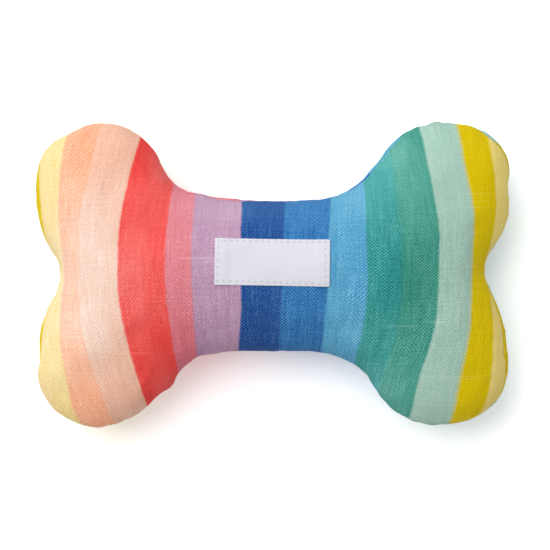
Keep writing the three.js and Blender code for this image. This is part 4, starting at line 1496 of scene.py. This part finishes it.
@dataclass
class SewnLabel:
    """The bare woven label, its ends turned under, and the lockstitch round it."""

    body: StuffedBody
    length: float = 0.0544
    width: float = 0.0220
    centre: tuple[float, float] = (-0.0003, 0.0057)
    turn: float = math.radians(-0.85)
    cloth: float = 0.0004
    turn_under: float = 0.006
    lift: float = 0.0001
    insets: tuple[tuple[float, float], ...] = (
        (0.0013, 0.0019), (0.0018, 0.0012), (0.0018, 0.0012), (0.0015, 0.0012),
    )
    stitch_pitch: float = 0.0031
    stitches_long: int = 17
    stitches_short: int = 6
    hole_depth: float = 0.00035
    hole_length: float = 0.00045
    hole_reach: float = 0.00030
    thread: float = 0.00022
    scallop: float = 0.00004
    scallop_reach: float = 0.0008
    dent_share: float = 0.6
    fold_softness: float = 0.0006
    fold_points: int = 7
    steps_across: int = 60
    step_along: float = 0.0004
    stitch_points: int = 8
    open_points: int = 6
    thread_sunk: float = 0.2
    bobbin_clear: float = 1.2
    bobbin_dip: float = -0.0001

    def on_panel(self, s: Array, b: Array, height: Array) -> Array:
        """Return points over the front panel: the panel's point plus the normal times a height.

        Args:
            s: Places along the label from its middle.
            b: Places across it.
            height: Heights over the panel's face.

        Returns:
            The points.
        """
        skin = self.body.skins[Side.FRONT]
        cosine, sine = math.cos(self.turn), math.sin(self.turn)
        x = self.centre[0] + s * cosine - b * sine
        y = self.centre[1] + s * sine + b * cosine
        i, j = skin.find(x, y)
        foot = sample(skin.points[skin.grid], i, j)
        normal = unit(sample(skin.normals()[skin.grid], i, j))
        return foot + normal * height[..., None]

    def corners(self) -> Array:
        """Return the stitching's four corners and the first again, anticlockwise."""
        along = self.length / 2
        up = self.width / 2
        a, b, c, d = self.insets
        return np.array([
            [-along + a[0], -up + a[1]], [along - b[0], -up + b[1]],
            [along - c[0], up - c[1]], [-along + d[0], up - d[1]], [-along + a[0], -up + a[1]],
        ])

    def holes(self, s: Array, b: Array) -> Array:
        """Return how near a point is to a needle hole: 1 at one, falling as a Gaussian.

        Each hole is drawn out along its row, because the thread pulls at both its ends.
        """
        corners = self.corners()
        nearest = np.full(np.shape(s), np.inf)
        for k, count in enumerate((self.stitches_long, self.stitches_short) * 2):
            step = (corners[k + 1] - corners[k]) / count
            way = unit(step)
            for n in range(count):
                hole = corners[k] + step * n
                along = (s - hole[0]) * way[0] + (b - hole[1]) * way[1]
                across = (b - hole[1]) * way[0] - (s - hole[0]) * way[1]
                off = (along / self.hole_length) ** 2 + (across / self.hole_reach) ** 2
                nearest = np.minimum(nearest, off)
        return np.exp(-nearest)

    def doubled(self, s: Array) -> Array:
        """Return 1 where the tape lies over its turned-under end, and 0 before, softly between."""
        past = np.abs(s) - self.length / 2 + self.turn_under
        return 1 / (1 + np.exp(-past / self.fold_softness))

    def tape(self) -> bpy.types.Object:
        """Build the tape: a line along its section, carried across, with a thickness.

        The line comes from under one end, turns up round the fold, drops to the panel past
        the turned-under part and rises again before the other end.
        """
        half = self.length / 2
        inner = half - self.turn_under
        bend = self.cloth * 0.5
        under = np.arange(inner, half - bend, self.step_along)
        angle = np.linspace(-math.pi / 2, math.pi / 2, self.fold_points)
        fold_s = half - bend + bend * np.cos(angle)
        fold_h = bend * (1 + np.sin(angle))
        top = np.arange(half - bend, 0.0, -self.step_along)[1:]
        right_s = np.concatenate([under, fold_s, top])
        right_h = np.concatenate([np.zeros(len(under)), fold_h, 2 * bend * self.doubled(top)])
        s = np.concatenate([right_s, -right_s[::-1]])
        h = np.concatenate([right_h, right_h[::-1]]) + self.lift + self.cloth / 2
        b = np.linspace(-0.5, 0.5, self.steps_across + 1) * self.width
        rows, line = np.meshgrid(b, s, indexing="ij")
        height = np.broadcast_to(h, rows.shape)
        shown = np.arange(len(s))
        is_top = (shown >= len(under)) & (shown < len(s) - len(under))
        hole = self.holes(line, rows) * is_top
        wave = np.cos(2 * math.pi * line / self.stitch_pitch)
        edge = np.exp(-(((np.abs(rows) - self.width / 2) / self.scallop_reach) ** 2))
        rows = rows + np.sign(rows) * wave * edge * self.scallop
        height = height - hole * self.hole_depth * self.dent_share
        middle = self.on_panel(line, rows, height)
        lengthwise = np.gradient(middle, axis=1)
        crosswise = np.gradient(middle, axis=0)
        normal = unit(np.cross(lengthwise, crosswise))
        run = stations(np.stack([s, h], axis=1))
        cloth = np.stack(np.broadcast_arrays(run[None], rows), axis=-1)
        made = Surface()
        over = made.add(middle - normal * self.cloth / 2, cloth)
        beneath = made.add(middle + normal * self.cloth / 2, cloth)
        made.join(over)
        made.join(beneath, flip=True)
        rim = np.stack([loop_of(over), loop_of(beneath)])
        made.join(rim, wrap=True)
        thing = made.build("label_cloth_tape")
        # Each needle hole's share, which the label's material turns into painted shade.
        hole_shade_share = np.concatenate([hole.ravel(), hole.ravel()])
        attribute = thing.data.attributes.new("hole_shade_share", "FLOAT", "POINT")
        attribute.data.foreach_set("value", hole_shade_share.astype(np.float32))
        return thing

    def stitch_path(self, height: float, dip: float) -> Array:
        """Return the line of stitches round the label, open where it starts and ends.

        Args:
            height: The thread's height over the panel.
            dip: How far it goes down at each hole.

        Returns:
            The points.
        """
        corners = self.corners()
        counts = (self.stitches_long, self.stitches_short) * 2
        runs = []
        for k, count in enumerate(counts):
            share = np.arange(count * self.stitch_points) / (count * self.stitch_points)
            runs.append(corners[k] + (corners[k + 1] - corners[k]) * share[:, None])
        s, b = np.concatenate(runs)[:-self.open_points].T
        over = self.doubled(s) * self.cloth * (height > 0)
        return self.on_panel(s, b, height + over - dip * self.holes(s, b))

    def threads(self) -> tuple[bpy.types.Object, bpy.types.Object]:
        """Build the needle thread on the label and the bobbin thread under the panel."""
        radius = self.thread / 2
        up = np.array([0.0, 0.0, 1.0])
        top = self.lift + self.cloth - radius * self.thread_sunk
        bottom = -self.body.cloth_thickness - radius * self.bobbin_clear
        above = self.stitch_path(top, self.hole_depth)
        below = self.stitch_path(bottom, self.bobbin_dip)
        return (
            tube(above, radius, "label_stitches", up),
            tube(below, radius, "label_bobbin_stitches", up),
        )


@dataclass
class SeamThreads:
    """The lockstitch along the seam allowances and the hand stitches that close the gap."""

    body: StuffedBody
    inset: float = 0.0024
    diameter: float = 0.0005
    pitch: float = 0.0025
    gap_half: float = 0.031
    closing_pitch: float = 0.0036
    closing_diameter: float = 0.0004
    clear: float = 0.0002
    wave: float = 0.00015
    points: int = 1441
    closing_points: int = 4001
    closing_inset: float = -0.0001
    closing_rise: float = 0.0011
    closing_square: float = 1.6
    closing_dip: float = 0.0003
    closing_out: float = 0.0002

    def in_gap(self, path: Array) -> Array:
        """Return whether each point is in the gap that the toy was stuffed through."""
        return (np.abs(path[:, 0]) < self.gap_half) & (path[:, 1] < 0)

    def lockstitch(self, side: Side, name: str) -> bpy.types.Object:
        """Build one side's thread: the seam's line moved in, with a small wave for each stitch."""
        off = self.body.cloth_thickness + self.diameter / 2 + self.clear
        path = self.body.seam_line(side, self.inset, off, self.points)
        turn = 2 * math.pi * stations(path) / self.pitch
        path[:, 2] -= side.value * self.wave * np.cos(turn)
        gap = np.flatnonzero(self.in_gap(path))
        before, after = int(gap[0]), int(gap[-1]) + 1
        path = np.concatenate([path[after:], path[1:before]])
        return tube(path, self.diameter / 2, name, np.array([0.0, 0.0, 1.0]))

    def closing(self) -> bpy.types.Object:
        """Build the closing thread: a squared wave over the seam, two crossings to each stitch."""
        path = self.body.seam_line(Side.FRONT, self.closing_inset, 0.0, self.closing_points)
        path = path[self.in_gap(path)]
        path = path[np.argsort(path[:, 0])]
        wave = np.sin(2 * math.pi * path[:, 0] / self.closing_pitch)
        path[:, 2] += self.closing_rise * np.clip(wave * self.closing_square, -1, 1)
        path[:, 1] -= self.closing_dip * (1 - wave**2) - self.closing_out
        across = np.array([0.0, 1.0, 0.0])
        return tube(path[::2], self.closing_diameter / 2, "closing_stitches", across)


# Filling and squeaker


@dataclass(frozen=True)
class Wad:
    """A wad of loose fibre in the place of its CAD solid."""

    node: str
    body: str
    room_side: int = 0
    voxel: float = 0.0024
    smaller: float = 0.94
    disc_centre_x: float = -0.005
    disc_flat: float = 0.018
    disc_edge: float = 0.0064
    disc_room: float = 0.0106
    tube_room: float = 0.0086
    tube_end: float = 0.0325
    clearance: float = 0.0016
    seam_room: float = 0.009
    weld: float = 0.00001
    evening: float = 0.5
    evening_rounds: int = 6
    drawn_in: float = 0.0003
    tufts: Lumps = Lumps(0.00035, 0.004, 0.012, 21)

    def off_squeaker(self, points: Array) -> Array:
        """Push points of a shank wad up or down, out of the squeaker's room.

        The room is as high as a disc with an elliptic edge, or as a tube, the root of its
        radius squared less y squared, whichever is the higher.

        Args:
            points: The wad's points.

        Returns:
            The points, clear of the room.
        """
        x, y, z = points.T
        past = (np.hypot(x - self.disc_centre_x, y) - self.disc_flat) / self.disc_edge
        disc = self.disc_room * np.sqrt(1 - np.clip(past, 0, 1) ** 2)
        pipe = np.sqrt(np.maximum(self.tube_room**2 - y**2, 0))
        room = np.maximum(disc, pipe * ((x > 0) & (x < self.tube_end)))
        level = np.maximum((z - MIDDLE) * self.room_side, room)
        moved = np.where(room > 0, MIDDLE + level * self.room_side, z)
        return np.stack([x, y, moved], axis=1)

    def build(self, hull: bpy.types.Object) -> bpy.types.Object:
        """Copy the solid, merge and remesh it, draw it in towards its middle and tuft it.

        Args:
            hull: The cloth's outer faces, inside which the wad is kept by its clearance.

        Returns:
            The wad.
        """
        source = bpy.data.objects[self.node]
        shape = bmesh.new()
        shape.from_mesh(source.data)
        bmesh.ops.remove_doubles(shape, verts=shape.verts, dist=self.weld)
        mesh = bpy.data.meshes.new(self.node + "_fibre")
        shape.to_mesh(mesh)
        shape.free()
        thing = placed(self.node + "_fibre", mesh)
        remesh = thing.modifiers.new("remesh", "REMESH")
        remesh.mode = "VOXEL"
        remesh.voxel_size = self.voxel
        evened = thing.modifiers.new("even", "SMOOTH")
        evened.factor = self.evening
        evened.iterations = self.evening_rounds
        applied(thing)
        points = vertices(thing.data)
        middle = (points.min(axis=0) + points.max(axis=0)) / 2
        normal = np.empty(len(points) * 3, np.float32)
        thing.data.vertex_normals.foreach_get("vector", normal)
        points = middle + (points - middle) * self.smaller
        points += normal.reshape(-1, 3) * (self.tufts.at(points) - self.drawn_in)[:, None]
        if self.room_side:
            points = self.off_squeaker(points)
        thing.data.vertices.foreach_set("co", points.astype(np.float32).ravel())
        thing.data.update()
        far = np.abs(points[:, 2] - MIDDLE) > self.seam_room
        crown = thing.vertex_groups.new(name="away from the seam")
        crown.add(np.flatnonzero(far).tolist(), 1.0, "REPLACE")
        kept = thing.modifiers.new("kept in", "SHRINKWRAP")
        kept.vertex_group = crown.name
        kept.target = hull
        kept.wrap_method = "NEAREST_SURFACEPOINT"
        kept.wrap_mode = "INSIDE"
        kept.offset = self.clearance
        return applied(thing)


@dataclass(frozen=True)
class SqueakerBulb:
    """The blow-moulded bulb: a rippled disc that runs out into a neck round the barrel."""

    centre: tuple[float, float, float] = (-0.005, 0.0, MIDDLE)
    radius: float = 0.0232
    flat: float = 0.017
    half_thickness: float = 0.0095
    ripple: float = 0.00055
    ripple_pitch: float = 0.0055
    wall: float = 0.0012
    neck_radius: float = 0.0056
    neck_bore: float = 0.0043
    neck_reach: float = 0.033
    rows: int = 44
    columns: int = 160
    mouth_slack: float = 0.03
    weld: float = 0.00003

    def half(self, shrink: float, sign: float) -> Array:
        """Return one face: rows from the middle out, columns round the vertical axis.

        The height is the larger of the disc's, a rim of an ellipse round a rippled flat, and
        the neck's, the root of its radius squared less y squared.

        Args:
            shrink: How far the face lies inside the outer one.
            sign: 1 for the upper face and -1 for the lower.

        Returns:
            The points.
        """
        radius = self.radius - shrink
        neck = self.neck_radius - (self.neck_radius - self.neck_bore) * (shrink > 0)
        angle = np.linspace(-math.pi, math.pi, self.columns, endpoint=False)
        narrow = math.atan2(neck, self.neck_reach)
        beside = neck / np.maximum(np.abs(np.sin(angle)), TINY)
        front = self.neck_reach / np.maximum(np.cos(angle), TINY)
        along = np.where(np.abs(angle) < narrow, front, beside)
        ahead = np.maximum(radius, np.minimum(along, front))
        reach = np.where(np.abs(angle) < math.pi / 2, ahead, radius)
        share = np.sin(np.linspace(0, math.pi / 2, self.rows))[:, None]
        distance = share * reach
        x = distance * np.cos(angle)
        y = distance * np.sin(angle)
        rim = np.clip((distance - self.flat + shrink) / (radius - self.flat + shrink), 0, 1)
        disc = (self.half_thickness - shrink) * np.sqrt(np.maximum(1 - rim**2, 0))
        wave = np.cos(2 * math.pi * distance / self.ripple_pitch)
        disc += self.ripple * (wave - 1) / 2 * (distance < self.flat) * (disc > 0)
        tubes = np.sqrt(np.maximum(neck**2 - y**2, 0)) * (x > 0)
        z = np.maximum(disc, tubes)
        return np.stack([x, y, sign * z], axis=-1) + np.array(self.centre)

    def build(self) -> bpy.types.Object:
        """Build the bulb's outer and inner faces, joined round the neck's mouth."""
        made = Surface()
        faces = {}
        for shrink in (0.0, self.wall):
            for sign in (1.0, -1.0):
                grid = made.add(self.half(shrink, sign))
                made.join(grid, wrap=True, flip=(sign > 0) == (shrink > 0))
                faces[shrink, sign] = grid[-1]
        angle = np.linspace(-math.pi, math.pi, self.columns, endpoint=False)
        half_mouth = math.atan2(self.neck_radius, self.neck_reach) + self.mouth_slack
        mouth = np.flatnonzero(np.abs(angle) <= half_mouth)
        for sign in (1.0, -1.0):
            strip = np.stack([faces[0.0, sign][mouth], faces[self.wall, sign][mouth]])
            made.join(strip, flip=sign < 0)
        return made.build("squeaker_bulb_shell", merge=self.weld)


# Studio


@dataclass(frozen=True)
class Studio:
    """A white table, soft light from the upper left and a camera straight above."""

    millimetres_across: float = 265.5
    middle_x: float = 0.0010
    middle_y: float = -0.00024
    distance: float = 1.6
    sensor: float = 36.0
    key_power: float = 21.9
    key_size: float = 2.0
    key_place: tuple[float, float, float] = (-0.68, 0.72, 1.34)
    world: float = 0.46
    table_shown: float = 1.47
    table_glow: float = 0.13
    table_half: float = 3.0
    table_level: float = -0.00005
    table_white: tuple[float, float, float, float] = (0.86, 0.86, 0.865, 1)

    def floor(self) -> None:
        """Lay the table: white, and lit up a little where the camera sees it."""
        made = Surface()
        side = np.linspace(-self.table_half, self.table_half, 3)
        x, y = np.meshgrid(side, side, indexing="ij")
        made.join(made.add(np.stack([x, y, np.full_like(x, self.table_level)], axis=-1)))
        table = made.build("table_top")
        recipe = Recipe("white_table")
        path = recipe.node("ShaderNodeLightPath", {})
        seen = Wire(recipe, path.outputs["Is Camera Ray"])
        for kind in ("Is Glossy Ray", "Is Transmission Ray"):
            seen = recipe.math("MAXIMUM", seen, Wire(recipe, path.outputs[kind]))
        shown = (self.table_shown,) * 3 + (1,)
        recipe.colour(recipe.mix(seen, self.table_white, shown))
        recipe.feed(recipe.shader.inputs["Emission Strength"], seen * self.table_glow)
        recipe.plain(Roughness=0.9, Specular_IOR_Level=0.1, Emission_Color=(1, 1, 1, 1))
        table.data.materials.append(recipe.material)

    def light(self) -> None:
        """Hang one wide lamp to the upper left and fill the rest from the world."""
        lamp = bpy.data.lights.new("window", "AREA")
        lamp.shape = "DISK"
        lamp.size = self.key_size
        lamp.energy = self.key_power
        thing = placed("window", lamp)
        thing.location = self.key_place
        aim = -np.array(thing.location)
        tilt = math.acos(-aim[2] / np.linalg.norm(aim))
        thing.rotation_euler = (tilt, 0.0, math.atan2(aim[1], aim[0]) - math.pi / 2)
        world = bpy.data.worlds.new("room")
        bpy.context.scene.world = world
        world.use_nodes = True
        background = world.node_tree.nodes["Background"]
        background.inputs["Color"].default_value = (1, 1, 1, 1)
        background.inputs["Strength"].default_value = self.world

    def camera(self) -> None:
        """Set the camera straight above, as far off as its lens frames the photograph."""
        data = bpy.data.cameras.new("above")
        data.sensor_width = self.sensor
        data.lens = self.sensor * self.distance / (self.millimetres_across * MM)
        thing = placed("above", data)
        thing.location = (self.middle_x, self.middle_y, MIDDLE + self.distance)
        bpy.context.scene.camera = thing

    def build(self) -> None:
        """Set the view, the table, the light and the camera."""
        bpy.context.scene.view_settings.view_transform = "Standard"
        self.floor()
        self.light()
        self.camera()


# The toy


@dataclass
class Toy:
    """All of the toy's pieces, with what each rides on."""

    height: float = 0.0532
    squeeze: float = 0.018

    def dress(
        self, thing: bpy.types.Object, material: bpy.types.Material, slot: str, body: str,
        *nodes: str,
    ) -> bpy.types.Object:
        """Finish a soft piece: its material, its body and the CAD nodes it replaces.

        Args:
            thing: The piece.
            material: Its material.
            slot: A name for its material slot; not used.
            body: The body it rides on.
            *nodes: The CAD nodes it stands for.

        Returns:
            The piece.
        """
        thing.data.materials.clear()
        thing.data.materials.append(material)
        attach(thing, body)
        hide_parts(*nodes)
        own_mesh(thing)
        LOG.info("%s: %d faces on %s", thing.name, len(thing.data.polygons), body)
        return thing

    def build(self) -> None:
        """Build the body, the label, the threads, the filling and the squeaker."""
        body = StuffedBody()
        body.shape()
        linen = StripedLinen().material()
        front = self.dress(body.panel(Side.FRONT), linen, "striped_linen", "front", "front_panel")
        back = self.dress(body.panel(Side.BACK), linen, "striped_linen", "back", "back_panel")
        label = SewnLabel(body)
        tape = self.dress(label.tape(), LabelCloth().material(), "label_cloth", "front", "label")
        thread = Thread().material()
        needle, bobbin = label.threads()
        seam = SeamThreads(body)
        for stitches, rides_on, node in (
            (needle, "front", "label_needle_thread"),
            (bobbin, "front", "label_bobbin_thread"),
            (seam.lockstitch(Side.FRONT, "seam_needle_stitches"), "front", "seam_needle_thread"),
            (seam.lockstitch(Side.BACK, "seam_bobbin_stitches"), "back", "seam_bobbin_thread"),
            (seam.closing(), "back", "closing_stitch"),
        ):
            self.dress(stitches, thread, "thread", rides_on, node)
        fibre = Fibre().material()
        wads = [Wad("front_shank_wad", "front", 1), Wad("back_shank_wad", "back", -1)]
        for level in ("lower", "upper"):
            for side in ("left", "right"):
                wads.append(Wad(f"knuckle_wad_{level}_{side}", "back"))
        hull, _ = body.hull("cloth_hull")
        for wad in wads:
            filled = self.dress(wad.build(hull), fibre, "fibre_filling", wad.body, wad.node)
        bpy.data.objects.remove(hull)
        bulb = SqueakerBulb().build()
        soft = MouldedPlastic("blown_soft_plastic", (222, 226, 222), 0.38, clear=0.15).material()
        self.dress(bulb, soft, "soft_plastic", "squeaker", "squeaker_bulb")
        rigid = MouldedPlastic("black_moulded_plastic", (44, 46, 50), 0.35).material()
        film = MouldedPlastic("reed_polyester_film", (205, 208, 198), 0.18, clear=0.3).material()
        for node in ("squeaker_barrel", "tone_board", "reed_wedge", "reed"):
            mesh = bpy.data.objects[node].data
            mesh.materials.clear()
            mesh.materials.append(film if node == "reed" else rigid)
            LOG.info("%s: new finish", node)


def main() -> None:
    """Build the studio and the toy."""
    logging.basicConfig(level=logging.INFO, format="%(message)s")
    Studio().build()
    Toy().build()


if __name__ == "__main__":
    main()
